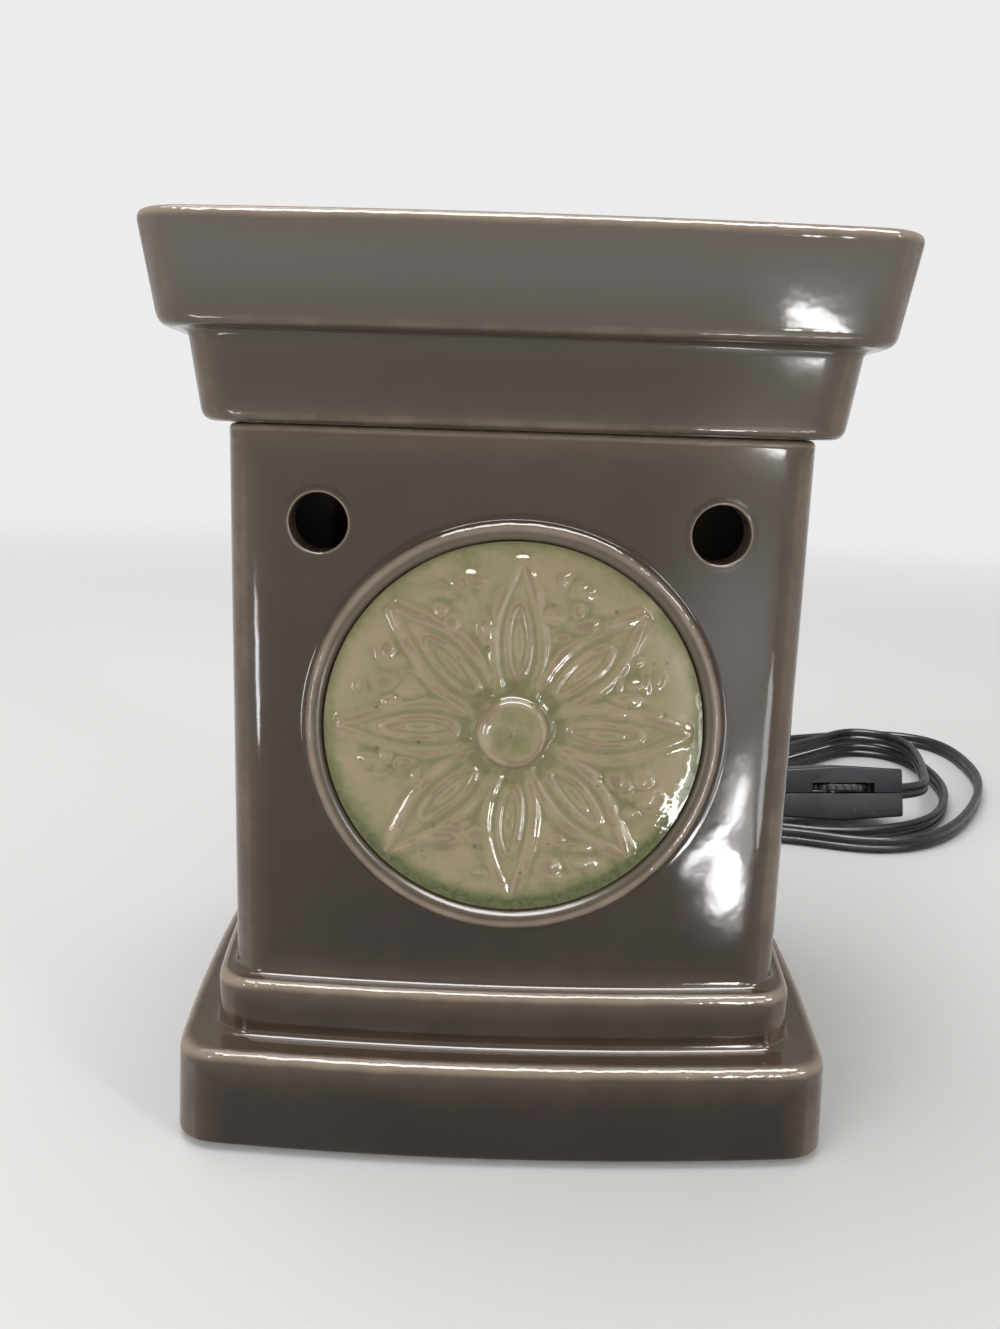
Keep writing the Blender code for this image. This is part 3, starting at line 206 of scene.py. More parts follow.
class GlazeColours(bpy.types.PropertyGroup):
    """Colours of the fired glazes."""

    brown: glaze_colour("Brown", "Body of the dark glaze", (0.0250, 0.0148, 0.0078))
    brown_light: glaze_colour(
        "Light brown", "Streaks where the dark glaze runs thinner", (0.0360, 0.0235, 0.0142))
    brown_red: glaze_colour("Red brown", "Clouds where the dark glaze fired redder", (0.0420, 0.0222, 0.0142))
    # Thick, thin and hazy brown make the glaze darker towards the foot and paler and greyer towards the rim:
    # partly glaze that ran thick downwards, partly painted shade at the foot, painted light at the column's
    # top and a painted reflection on the rim.
    brown_foot_shade: glaze_colour("Thick brown", "Dark glaze that ran down to the foot", (0.0085, 0.0046, 0.0028))
    brown_top_light: glaze_colour("Thin brown", "Dark glaze at the top of the column", (0.0700, 0.0540, 0.0375))
    brown_rim_reflection: glaze_colour("Hazy brown", "Dark glaze towards the rim", (0.112, 0.104, 0.092))
    bare_clay: glaze_colour("Bare clay", "Unglazed clay inside", (0.440, 0.365, 0.285))
    tan_brown: glaze_colour("Tan brown", "Dark glaze getting thinner beside the edges", (0.120, 0.084, 0.058))
    tan: glaze_colour("Tan", "Dark glaze where it breaks over edges", (0.310, 0.245, 0.184))
    celadon: glaze_colour("Celadon", "Body of the pale green glaze", (0.310, 0.250, 0.148))
    celadon_green: glaze_colour("Celadon green", "Greener clouds in the pale glaze", (0.262, 0.226, 0.124))
    green: glaze_colour("Green", "Green glaze in the shallow hollows", (0.180, 0.182, 0.076))
    pooled: glaze_colour("Pooled green", "Green glaze lying thick in the hollows", (0.098, 0.112, 0.036))
    pooled_dark: glaze_colour("Dark green", "Specks in the thickest green glaze", (0.046, 0.062, 0.016))
    crest: glaze_colour("Crest", "Pale glaze drawn thin over the ridges", (0.345, 0.280, 0.185))
    # Darkens the glaze beside the ridges: partly green glaze pooled there, partly painted shade along the
    # ridges.
    crease_shade: glaze_colour("Crease", "Glaze in the creases beside the ridges", (0.165, 0.140, 0.070))
    pit: glaze_colour("Pit", "Pits in the pale glaze", (0.070, 0.045, 0.026))
    thin_red: glaze_colour("Thin red", "Pale glaze burnt red on the ridges", (0.205, 0.130, 0.080))


class WarmerSizes(bpy.types.PropertyGroup):
    """Sizes that a user may change without touching the frame."""

    vent_radius: FloatProperty(
        name="Vent radius", description="Clear radius of a vent", default=5.0 * MM, unit="LENGTH")
    bead_radius: FloatProperty(
        name="Bead radius", description="Radius of the bead round the rosette", default=1.9 * MM,
        unit="LENGTH")
    ridge_height: FloatProperty(
        name="Ridge height", description="Height of the petals' ridges", default=0.52 * MM, unit="LENGTH")
    petals: IntProperty(name="Petals", description="Number of petals", default=8, min=3, max=16)
    cord_width: FloatProperty(
        name="Cord width", description="Width of the flat lead", default=5.6 * MM, unit="LENGTH")
    cord_thickness: FloatProperty(
        name="Cord thickness", description="Thickness of the flat lead", default=2.8 * MM, unit="LENGTH")


class StudioSettings(bpy.types.PropertyGroup):
    """Camera and light."""

    camera_place: FloatVectorProperty(
        name="Camera place", description="Camera position", subtype="TRANSLATION", unit="LENGTH",
        default=(-3.5 * MM, -249.4 * MM, 132.3 * MM))
    focal: FloatProperty(
        name="Focal length", description="Lens in millimetres", default=FOCAL_PIXELS * SENSOR / PHOTO_HEIGHT)
    pitch: FloatProperty(
        name="Pitch", description="How far the camera looks down", default=math.radians(11.79),
        unit="ROTATION")
    roll: FloatProperty(
        name="Roll", description="Turn about the line of sight", default=math.radians(1.85), unit="ROTATION")
    yaw: FloatProperty(
        name="Yaw", description="Turn about the vertical", default=math.radians(0.23), unit="ROTATION")
    sky: FloatProperty(name="Sky", description="Strength of the even light", default=0.52)
    backdrop: FloatProperty(name="Backdrop", description="Brightness of the far background", default=0.84)


def deselect():
    """Leave nothing selected and no mode open."""
    if bpy.context.object and bpy.context.object.mode != "OBJECT":
        bpy.ops.object.mode_set(mode="OBJECT")
    bpy.ops.object.select_all(action="DESELECT")


def only(piece):
    """Make one piece the selected and active one."""
    deselect()
    piece.select_set(True)
    bpy.context.view_layer.objects.active = piece


def edit(piece):
    """Open a piece in edit mode with everything selected."""
    only(piece)
    bpy.ops.object.mode_set(mode="EDIT")
    bpy.ops.mesh.select_mode(type="VERT")
    bpy.ops.mesh.select_all(action="SELECT")


def close_edit(outward=False):
    """Back to object mode, with every face turned outwards where asked."""
    if outward:
        bpy.ops.mesh.select_all(action="SELECT")
        bpy.ops.mesh.normals_make_consistent(inside=False)
    bpy.ops.object.mode_set(mode="OBJECT")


def select_rims():
    """Select only the open rims of the piece in edit mode."""
    bpy.ops.mesh.select_mode(type="EDGE")
    bpy.ops.mesh.select_all(action="DESELECT")
    bpy.ops.mesh.select_non_manifold(extend=False)


def bevel_edges(piece, chosen, offset, segments):
    """Round the edges that pass a test, in edit mode."""
    bpy.ops.mesh.select_mode(type="EDGE")
    bpy.ops.mesh.select_all(action="DESELECT")
    form = bmesh.from_edit_mesh(piece.data)
    for edge in form.edges:
        edge.select = chosen(edge)
    bmesh.update_edit_mesh(piece.data)
    bpy.ops.mesh.bevel(offset=offset, segments=segments, profile=0.5, affect="EDGES")


def open_block(name, size, place=(0, 0, 0)):
    """Start a block of a size and leave it open in edit mode."""
    deselect()
    bpy.ops.mesh.primitive_cube_add(size=1.0, location=place)
    block = bpy.context.active_object
    block.name = name
    edit(block)
    bpy.ops.transform.resize(value=size, center_override=place)
    return block


def applied(piece, kind, **settings):
    """Add a modifier and apply it."""
    step = piece.modifiers.new(kind.title(), kind)
    for name, value in settings.items():
        setattr(step, name, value)
    only(piece)
    bpy.ops.object.modifier_apply(modifier=step.name)
    return piece


def subdivided(piece):
    """Smooth a piece by subdividing it once."""
    return applied(piece, "SUBSURF", levels=1, render_levels=1)


def drop(piece):
    """Remove a helper."""
    bpy.data.objects.remove(piece, do_unlink=True)


def smooth(piece, degrees=38):
    """Shade rounded faces smooth and keep edges that are sharper than an angle."""
    only(piece)
    bpy.ops.object.shade_smooth_by_angle(angle=math.radians(degrees))
    return piece


def settle(piece):
    """Put a piece's place into its mesh, so that its object sits at the origin."""
    only(piece)
    bpy.ops.object.transform_apply(location=True, rotation=True, scale=True)
    return piece


def carried(piece, body, finish, slot, *nodes):
    """Give a piece its finish, set it on its body and let it stand for its CAD nodes."""
    settle(piece)
    piece.data.materials.clear()
    piece.data.materials.append(FINISH[finish])
    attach(piece, body)
    if nodes:
        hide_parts(*nodes)
    return piece


def bowed_depth(half, x):
    """Distance of a bowed side from the axis, x along that side."""
    return half * (1.0 + BOW * (1.0 - (x / half) ** 2))


def bowed_outline(side_steps, corner_steps):
    """Unit square outline with bowed sides and round corners, its points closer near the corners."""
    reach = 1.0 - CORNER_SHARE
    turn = bowed_depth(1.0, reach) - reach
    shares = np.linspace(-1, 1, side_steps + 1)
    along = reach * (0.45 * shares + 0.55 * np.sin(shares * math.pi / 2))
    quarter = [(x, -bowed_depth(1.0, x)) for x in along]
    for angle in np.linspace(-math.pi / 2, 0, corner_steps + 1)[1:-1]:
        quarter.append((reach + turn * math.cos(angle), -reach + turn * math.sin(angle)))
    points = []
    for side in range(4):
        c, s = round(math.cos(side * math.pi / 2)), round(math.sin(side * math.pi / 2))
        points.extend((c * x - s * y, s * x + c * y) for x, y in quarter)
    return points


def raised(name, steps, sides=64, outline=None, loop=False):
    """Raise a ring through (radius, height) steps: extruded, scaled and moved, then closed."""
    deselect()
    count = len(outline) if outline else sides
    radius, height = steps[0]
    bpy.ops.mesh.primitive_circle_add(vertices=count, radius=1.0, fill_type="NOTHING", location=(0, 0, 0))
    piece = bpy.context.active_object
    piece.name = name
    piece.data.name = name
    if outline:
        for vert, (x, y) in zip(piece.data.vertices, outline):
            vert.co = (x, y, 0.0)
    edit(piece)
    bpy.ops.transform.resize(value=(radius, radius, 1), center_override=(0, 0, 0))
    bpy.ops.transform.translate(value=(0, 0, height))
    for next_radius, next_height in steps[1:]:
        bpy.ops.mesh.extrude_region_move(TRANSFORM_OT_translate={"value": (0, 0, next_height - height)})
        share = next_radius / radius
        if share != 1:
            bpy.ops.transform.resize(value=(share, share, 1), center_override=(0, 0, next_height))
        radius, height = next_radius, next_height
    select_rims()
    if loop:
        bpy.ops.mesh.bridge_edge_loops()
    else:
        bpy.ops.mesh.fill_holes(sides=0)
    close_edit(outward=True)
    return piece


def rounded(corners, run, segments=5):
    """Round the corners of a profile of (half, height, fillet) and fill its long runs with points."""
    points = [Vector(c[:2]) for c in corners]
    line = [points[0]]
    for before, here, after, corner in zip(points, points[1:], points[2:], corners[1:]):
        fillet = corner[2]
        if not fillet:
            line.append(here)
            continue
        first = here + (before - here) * min(0.49, fillet / (before - here).length)
        last = here + (after - here) * min(0.49, fillet / (after - here).length)
        for t in np.linspace(0, 1, segments + 1):
            line.append(first * (1 - t) ** 2 + here * 2 * t * (1 - t) + last * t ** 2)
    line.append(points[-1])
    filled = [line[0]]
    for a, b in zip(line, line[1:]):
        length = (b - a).length
        ends = [d for d in EDGE_FADE if d < 0.42 * length] if length > run / 2 else []
        if ends:
            count = max(0, round((length - 2 * ends[-1]) / run) - 1)
            middle = np.linspace(ends[-1], length - ends[-1], count + 2)[1:-1]
            inner = [*ends, *middle, *(length - d for d in reversed(ends))]
            filled.extend(a + (b - a) * (d / length) for d in inner)
        filled.append(b)
    return [tuple(p) for p in filled]


def carve(piece):
    """Cut the active object out of a piece."""
    tool = bpy.context.active_object
    applied(piece, "BOOLEAN", operation="DIFFERENCE", solver="EXACT", object=tool)
    drop(tool)


def cut(piece, radius, depth, place, turn=(0, 0, 0), sides=64):
    """Bore a round hole into a piece."""
    deselect()
    bpy.ops.mesh.primitive_cylinder_add(
        vertices=sides, radius=radius, depth=depth, location=place, rotation=turn)
    carve(piece)


def read_values(items, name, width, kind=float):
    """One property of all points or edges of a mesh, as rows."""
    values = np.empty(len(items) * width, kind)
    items.foreach_get(name, values)
    return values.reshape(-1, width)


def neighbour_mean(values, edges, count):
    """Mean of each point's neighbours."""
    a, b = edges[:, 0], edges[:, 1]
    degree = np.maximum(np.bincount(a, minlength=count) + np.bincount(b, minlength=count), 1)
    columns = []
    for column in values.T:
        total = np.bincount(a, column[b], count) + np.bincount(b, column[a], count)
        columns.append(total / degree)
    return np.stack(columns, 1)


def keep_values(piece, **layers):
    """Keep one value for each point of a piece under each name."""
    for name, values in layers.items():
        layer = piece.data.attributes.new(name, "FLOAT", "POINT")
        layer.data.foreach_set("value", np.asarray(values, dtype=np.float32))


def mark_edges(piece, fade, lit_ledge_top=0.0):
    """Keep how sharply each point is bent, below 0 in hollows, and how near it is to an edge; upward ledges
    below a level get the edges' pale colour as painted light.
    """
    points = piece.data.vertices
    count = len(points)
    places, normals = read_values(points, "co", 3), read_values(points, "normal", 3)
    edges = read_values(piece.data.edges, "vertices", 2, int)
    a, b = edges.T
    step = places[b] - places[a]
    square = np.maximum((step ** 2).sum(1), 1e-12)
    most, least = np.zeros(count), np.zeros(count)
    for ends, sign in ((a, -2), (b, 2)):
        bend = sign * (normals[ends] * step).sum(1) / square
        np.maximum.at(most, ends, bend)
        np.minimum.at(least, ends, bend)
    bend = np.where(most > -least, most, least) * EDGE_ROUND
    bend = np.clip(np.sign(bend) * np.sqrt(np.abs(bend)), -0.5, 1.2)
    above_foot = np.clip((places[:, 2] - BASE_BOTTOM) / (3 * MM), 0, 1)
    bend *= above_foot * np.clip(0.8 + 0.35 * normals[:, 2], 0.5, 1)
    for _ in range(EDGE_BLUR):
        bend = 0.5 * bend + 0.5 * neighbour_mean(bend[:, None], edges, count)[:, 0]
    flat = np.abs(places[:, :2])
    turn = flat.min(1) / np.maximum(flat.max(1), MM)
    corner = np.clip((turn - 1 + 1.25 * CORNER_SHARE) / (0.75 * CORNER_SHARE), 0, 1)
    corner *= np.clip(3 - 4 * np.abs(normals[:, 2]), 0, 1) * (flat.max(1) > COLUMN_INSIDE + MM)
    bend = np.maximum(bend, 0.58 * corner)
    # Upward-facing ledges below the level are paled like edges: painted light that lifts the shade the step
    # casts on the ledge beside it.
    ledge = np.clip(2.5 * normals[:, 2] - 1.2, 0, 1) * (places[:, 2] < lit_ledge_top)
    glow = np.clip(np.maximum(bend, np.maximum(0.72 * corner, 0.85 * ledge)), 0, 1)
    passed = np.exp(-np.sqrt(square) / fade)
    for _ in range(GLOW_REACH):
        np.maximum.at(glow, b, glow[a] * passed)
        np.maximum.at(glow, a, glow[b] * passed)
    keep_values(piece, edge=bend, glow=glow)


def cubic_route(points):
    """Even points along a natural cubic curve through the given points."""
    nodes = np.array(points, dtype=float)
    spans = np.linalg.norm(np.diff(nodes, axis=0), axis=1)
    at = np.concatenate([[0.0], np.cumsum(spans)])
    count = len(nodes)
    system = np.eye(count)
    slopes = np.zeros_like(nodes)
    for i in range(1, count - 1):
        system[i, i - 1:i + 2] = (spans[i - 1], 2 * (spans[i - 1] + spans[i]), spans[i])
        slopes[i] = 6 * ((nodes[i + 1] - nodes[i]) / spans[i] - (nodes[i] - nodes[i - 1]) / spans[i - 1])
    bend = np.linalg.solve(system, slopes)
    fine = np.linspace(0.0, at[-1], 40 * count)
    cell = np.clip(np.searchsorted(at, fine) - 1, 0, count - 2)
    left = ((at[cell + 1] - fine) / spans[cell])[:, None]
    right = 1.0 - left
    square = (spans[cell] ** 2)[:, None] / 6
    curve = left * nodes[cell] + right * nodes[cell + 1]
    curve += square * ((left ** 3 - left) * bend[cell] + (right ** 3 - right) * bend[cell + 1])
    travel = np.concatenate([[0.0], np.cumsum(np.linalg.norm(np.diff(curve, axis=0), axis=1))])
    stations = np.linspace(0.0, travel[-1], max(2, round(travel[-1] / ROUTE_STEP)) + 1)
    route = np.column_stack([np.interp(stations, travel, curve[:, axis]) for axis in range(3)])
    route[:, 2] = np.maximum(route[:, 2], LYING)
    return route


def switch_axis():
    """Direction of the lead through the switch."""
    return Matrix.Rotation(SWITCH_TURN, 3, "Z") @ Vector((1, 0, 0))


class Net:
    """Short hand for building a node tree."""

    def __init__(self, tree):
        self.tree = tree

    def add(self, kind, settings=None, **inputs):
        """Add a node, set its options, and set or link its inputs by name."""
        node = self.tree.nodes.new(kind)
        for name, value in (settings or {}).items():
            setattr(node, name, value)
        return self.give(node, **inputs)

    def give(self, node, **inputs):
        """Set or link a node's inputs by name."""
        for name, value in inputs.items():
            self.join(node.inputs[name.replace("_", " ")], value)
        return node

    def join(self, socket, value):
        """Set a socket, or link another socket to it."""
        if isinstance(value, bpy.types.NodeSocket):
            self.tree.links.new(value, socket)
        else:
            socket.default_value = value

    def noise(self, vector, scale, detail, rough):
        """Noise value at a place."""
        node = self.add("ShaderNodeTexNoise", Vector=vector, Scale=scale, Detail=detail, Roughness=rough)
        return node.outputs["Fac"]

    def spread(self, value, low, high, to_low=0.0, to_high=1.0):
        """Map a range of values smoothly to another."""
        node = self.add("ShaderNodeMapRange", {"interpolation_type": "SMOOTHSTEP"}, Value=value,
                        From_Min=low, From_Max=high, To_Min=to_low, To_Max=to_high)
        return node.outputs["Result"]

    def math(self, operation, a, b=0.0):
        """One sum on two values."""
        node = self.add("ShaderNodeMath", {"operation": operation})
        self.join(node.inputs[0], a)
        self.join(node.inputs[1], b)
        return node.outputs[0]

    def mix(self, share, first, second):
        """Blend two colours."""
        node = self.add("ShaderNodeMix", {"data_type": "RGBA"})
        self.join(node.inputs[0], share)
        for at, colour in ((6, first), (7, second)):
            self.join(node.inputs[at], colour if isinstance(colour, bpy.types.NodeSocket) else (*colour, 1.0))
        return node.outputs[2]

    def layered(self, body, *layers):
        """Lay colours over a body one after the other, each where its value rises within its limits."""
        for value, limits, colour in layers:
            body = self.mix(self.spread(value, *limits), body, colour)
        return body

    def bump(self, height, distance, strength):
        """Normal of a bumped surface."""
        node = self.add("ShaderNodeBump", Height=height, Distance=distance, Strength=strength)
        return node.outputs["Normal"]

    def blend(self, share, first, second, output):
        """Mix two shaders into an output node."""
        node = self.add("ShaderNodeMixShader")
        for socket, value in zip(node.inputs, (share, first, second)):
            self.join(socket, value)
        self.give(output, Surface=node.outputs[0])

    def length(self, vector):
        """Length of a vector."""
        node = self.add("ShaderNodeVectorMath", {"operation": "LENGTH"})
        self.join(node.inputs[0], vector)
        return node.outputs["Value"]

    def attribute(self, name):
        """Value that the piece keeps at each point."""
        return self.add("ShaderNodeAttribute", {"attribute_name": name}).outputs["Fac"]


def node_group(name, inputs, outputs):
    """Start a shader node group with named sockets."""
    tree = bpy.data.node_groups.new(name, "ShaderNodeTree")
    for label, kind, default in inputs:
        socket = tree.interface.new_socket(name=label, in_out="INPUT", socket_type=kind)
        socket.default_value = default
    for label, kind in outputs:
        tree.interface.new_socket(name=label, in_out="OUTPUT", socket_type=kind)
    net = Net(tree)
    return tree, net, net.add("NodeGroupInput").outputs, net.add("NodeGroupOutput")


def new_finish(name):
    """Start a material: the material, its net, its shader and its object coordinates."""
    finish = bpy.data.materials.new(name)
    finish.use_nodes = True
    net = Net(finish.node_tree)
    place = net.add("ShaderNodeTexCoord").outputs["Object"]
    return finish, net, finish.node_tree.nodes["Principled BSDF"], place


def use_group(net, tree, **inputs):
    """Place a node group in a material."""
    return net.add("ShaderNodeGroup", {"node_tree": tree}, **inputs).outputs


def build_groups():
    """Shader groups that several finishes share."""
    groups = {}
    tree, net, given, out = node_group(
        "Fired Skin",
        [("Place", "NodeSocketVector", (0, 0, 0)), ("Peel Scale", "NodeSocketFloat", 230.0)],
        [("Height", "NodeSocketFloat"), ("Mottle", "NodeSocketFloat")])
    net.give(out, Height=net.noise(given["Place"], given["Peel Scale"], 2.0, 0.4),
             Mottle=net.noise(given["Place"], 55.0, 4.0, 0.6))
    groups["skin"] = tree

    tree, net, given, out = node_group(
        "Moulded Grain",
        [("Place", "NodeSocketVector", (0, 0, 0)), ("Grain Scale", "NodeSocketFloat", 2600.0),
         ("Dust Scale", "NodeSocketFloat", 340.0)],
        [("Height", "NodeSocketFloat"), ("Sheen", "NodeSocketFloat"), ("Dust", "NodeSocketFloat")])
    net.give(out, Height=net.noise(given["Place"], given["Grain Scale"], 2.0, 0.5),
             Sheen=net.noise(given["Place"], 120.0, 3.0, 0.55),
             Dust=net.spread(net.noise(given["Place"], given["Dust Scale"], 2.0, 0.6), 0.66, 0.74))
    groups["grain"] = tree

    tree, net, given, out = node_group(
        "Metal Wear",
        [("Place", "NodeSocketVector", (0, 0, 0)), ("Bright", "NodeSocketColor", (0.8, 0.8, 0.8, 1)),
         ("Dull", "NodeSocketColor", (0.3, 0.3, 0.3, 1)), ("Wear Scale", "NodeSocketFloat", 260.0)],
        [("Color", "NodeSocketColor"), ("Roughness", "NodeSocketFloat"), ("Height", "NodeSocketFloat")])
    cloud = net.noise(given["Place"], given["Wear Scale"], 5.0, 0.65)
    net.give(out, Color=net.mix(net.spread(cloud, 0.35, 0.7), given["Bright"], given["Dull"]),
             Roughness=net.spread(cloud, 0.3, 0.75, 0.2, 0.48),
             Height=net.noise(given["Place"], 3000.0, 2.0, 0.5))
    groups["wear"] = tree
    return groups


def dark_glaze(groups, colours):
    """Glossy dark brown glaze that breaks to tan over edges."""
    finish, net, shader, place = new_finish("dark_glaze")
    skin = use_group(net, groups["skin"], Place=place)
    streak = net.add("ShaderNodeMapping", Vector=place, Scale=(1.0, 1.0, 0.45))
    runs = net.noise(streak.outputs["Vector"], 34.0, 4.0, 0.55)
    level = net.add("ShaderNodeSeparateXYZ", Vector=place).outputs["Z"]
    edge, bare = net.attribute("edge"), net.attribute("bare")
    cloud = net.noise(place, 130.0, 3.0, 0.55)
    near = net.math("ADD", net.attribute("glow"), net.spread(cloud, 0.25, 0.75, -0.06, 0.06))
    crest = net.math("ADD", edge, net.spread(cloud, 0.25, 0.75, -0.07, 0.07))
    body = net.layered(
        colours.brown,
        (runs, (0.32, 0.74), colours.brown_light),
        (skin["Mottle"], (0.46, 0.78, 0.0, 0.4), colours.brown_red),
        # By height: darker towards the foot, paler at the column's top, greyer on the rim; partly glaze run
        # thick downwards, partly painted shade, painted light and a painted reflection haze.
        (level, (0.004, 0.075, 0.5, 0.0), colours.brown_foot_shade),
        (level, (0.075, 0.135, 0.0, 0.6), colours.brown_top_light),
        (level, (0.140, 0.158, 0.0, 0.8), colours.brown_rim_reflection),
        # Glaze paling where it thins beside edges; on the plinth's and step's ledges this pale colour is
        # painted light.
        (near, (0.08, 1.0, 0.0, 0.75), colours.tan_brown),
        (crest, (0.45, 1.08, 0.0, 0.92), colours.tan))
    # Bare clay inside the column and under the plinth; on the bead's inner flank the same pale clay colour is
    # painted light against the groove's shade.
    body = net.mix(bare, body, colours.bare_clay)
    rough = net.spread(skin["Mottle"], 0.3, 0.75, 0.07, 0.13)
    rough = net.math("ADD", rough, net.math("MULTIPLY", bare, 0.7))
    beads = net.math("MULTIPLY", net.noise(place, 430.0, 1.0, 0.4), net.spread(edge, 0.3, 0.9, 0.0, 2.2))
    ripple = net.math("ADD", net.math("MULTIPLY", skin["Height"], 0.45), beads)
    net.give(shader, Base_Color=body, Roughness=rough, Normal=net.bump(ripple, GLAZE_RIPPLE, 0.5))
    return finish


def green_glaze(groups, colours):
    """Celadon glaze: pale over the relief, green where it lies thick, red-brown where it burnt thin."""
    finish, net, shader, place = new_finish("green_glaze")
    skin = use_group(net, groups["skin"], Place=place, Peel_Scale=300.0)
    pool, ridge, pits = (net.attribute(name) for name in ("pool", "ridge", "pits"))
    cloud = net.noise(place, 130.0, 4.0, 0.6)
    fine = net.noise(place, 650.0, 3.0, 0.6)
    wet = net.math("ADD", pool, net.spread(fine, 0.25, 0.75, -0.16, 0.16))
    wet = net.math("ADD", wet, net.spread(cloud, 0.25, 0.75, -0.14, 0.14))
    body = net.layered(
        colours.celadon,
        (cloud, (0.35, 0.68), colours.celadon_green),
        (wet, (0.05, 0.75, 0.0, 0.9), colours.green),
        (wet, (0.50, 1.35, 0.0, 0.95), colours.pooled),
        (ridge, (0.2, 1.0, 0.0, 0.8), colours.crest),
        # Beside the ridges: partly pooled glaze, partly painted shade.
        (net.math("MULTIPLY", ridge, -1.0), (0.06, 0.42, 0.0, 0.42), colours.crease_shade))
    spots = net.noise(place, 150.0, 4.0, 0.6)
    burnt = net.math("MULTIPLY", net.spread(ridge, 0.20, 0.46, 0.0, 0.6), net.spread(spots, 0.44, 0.58))
    body = net.mix(burnt, body, colours.thin_red)
    specks = net.math("MULTIPLY", net.spread(net.noise(place, 900.0, 2.0, 0.5), 0.46, 0.60, 0.0, 0.55),
                      net.spread(pool, 0.85, 1.3))
    body = net.mix(specks, body, colours.pooled_dark)
    body = net.mix(net.spread(pits, 0.3, 0.9, 0.0, 0.8), body, colours.pit)
    net.give(shader, Base_Color=body, Roughness=net.spread(skin["Mottle"], 0.3, 0.75, 0.04, 0.10),
             Normal=net.bump(skin["Height"], GLAZE_RIPPLE, 0.5))
    return finish


def moulded(groups, name, colour, dusty, roughness, grain=2600.0, depth=0.03 * MM, shine=0.5):
    """Moulded plastic or rubber with a fine grain and a little dust."""
    finish, net, shader, place = new_finish(name)
    grained = use_group(net, groups["grain"], Place=place, Grain_Scale=grain)
    worn = tuple(min(1.0, 1.7 * c + 0.004) for c in colour)
    body = net.mix(net.spread(grained["Sheen"], 0.35, 0.7), colour, worn)
    body = net.mix(net.math("MULTIPLY", grained["Dust"], dusty), body, DUST)
    rough = net.spread(grained["Sheen"], 0.3, 0.75, roughness - 0.08, roughness + 0.1)
    net.give(shader, Base_Color=body, Roughness=rough, Specular_IOR_Level=shine,
             Normal=net.bump(grained["Height"], depth, 0.6))
    return finish


def metal(groups, name, bright, dull, scale=260.0):
    """Plated or stamped metal with some tarnish."""
    finish, net, shader, place = new_finish(name)
    worn = use_group(net, groups["wear"], Place=place, Bright=(*bright, 1), Dull=(*dull, 1), Wear_Scale=scale)
    net.give(shader, Base_Color=worn["Color"], Roughness=worn["Roughness"], Metallic=1.0,
             Normal=net.bump(worn["Height"], 0.01 * MM, 0.4))
    return finish


def felt():
    """Pressed felt on the board under the plinth."""
    finish, net, shader, place = new_finish("base_felt")
    fibre = net.noise(place, 1700.0, 6.0, 0.75)
    cloud = net.noise(place, 90.0, 3.0, 0.5)
    body = net.layered(
        (0.016, 0.015, 0.014), (fibre, (0.3, 0.75), (0.060, 0.056, 0.052)),
        (cloud, (0.35, 0.7, 0.0, 0.35), (0.045, 0.040, 0.036)))
    net.give(shader, Base_Color=body, Roughness=0.95, Normal=net.bump(fibre, 0.4 * MM, 0.8))
    return finish


def clear_glass():
    """Clear lamp glass with a faint haze of dust."""
    finish, net, shader, place = new_finish("lamp_glass")
    haze = net.noise(place, 180.0, 4.0, 0.6)
    body = net.mix(net.spread(haze, 0.45, 0.8), (0.96, 0.97, 0.97), (0.88, 0.88, 0.86))
    net.give(shader, Base_Color=body, Roughness=net.spread(haze, 0.4, 0.8, 0.0, 0.12),
             Transmission_Weight=1.0, IOR=1.45)
    return finish


def build_finishes(colours):
    """Every finish of the warmer, by name."""
    groups = build_groups()
    FINISH["brown"] = dark_glaze(groups, colours)
    FINISH["green"] = green_glaze(groups, colours)
    FINISH["cord"] = moulded(groups, "cord_vinyl", (0.0065, 0.0080, 0.0105), 0.10, 0.34, 1400.0)
    FINISH["switch"] = moulded(groups, "switch_plastic", (0.0085, 0.0115, 0.0155), 0.18, 0.46, shine=0.3)
    FINISH["wheel"] = moulded(groups, "wheel_plastic", (0.020, 0.023, 0.027), 0.22, 0.42)
    FINISH["rubber"] = moulded(groups, "foot_rubber", (0.020, 0.020, 0.021), 0.35, 0.72, 1800.0, 0.05 * MM)
    FINISH["phenolic"] = moulded(groups, "socket_phenolic", (0.030, 0.017, 0.011), 0.15, 0.36)
    FINISH["sleeve"] = moulded(groups, "wire_sleeve", (0.022, 0.022, 0.024), 0.10, 0.5)
    FINISH["brass"] = metal(groups, "stamped_brass", (0.78, 0.55, 0.24), (0.46, 0.29, 0.11))
    FINISH["steel"] = metal(groups, "zinc_plate", (0.66, 0.66, 0.68), (0.40, 0.41, 0.43))
    FINISH["filament"] = metal(groups, "tungsten", (0.30, 0.29, 0.28), (0.14, 0.13, 0.13), 900.0)
    FINISH["felt"] = felt()
    FINISH["glass"] = clear_glass()


def dress(finish, *nodes):
    """Give CAD nodes whose shape is right a finish."""
    for name in nodes:
        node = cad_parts[name]
        node.data.materials.clear()
        node.data.materials.append(FINISH[finish])


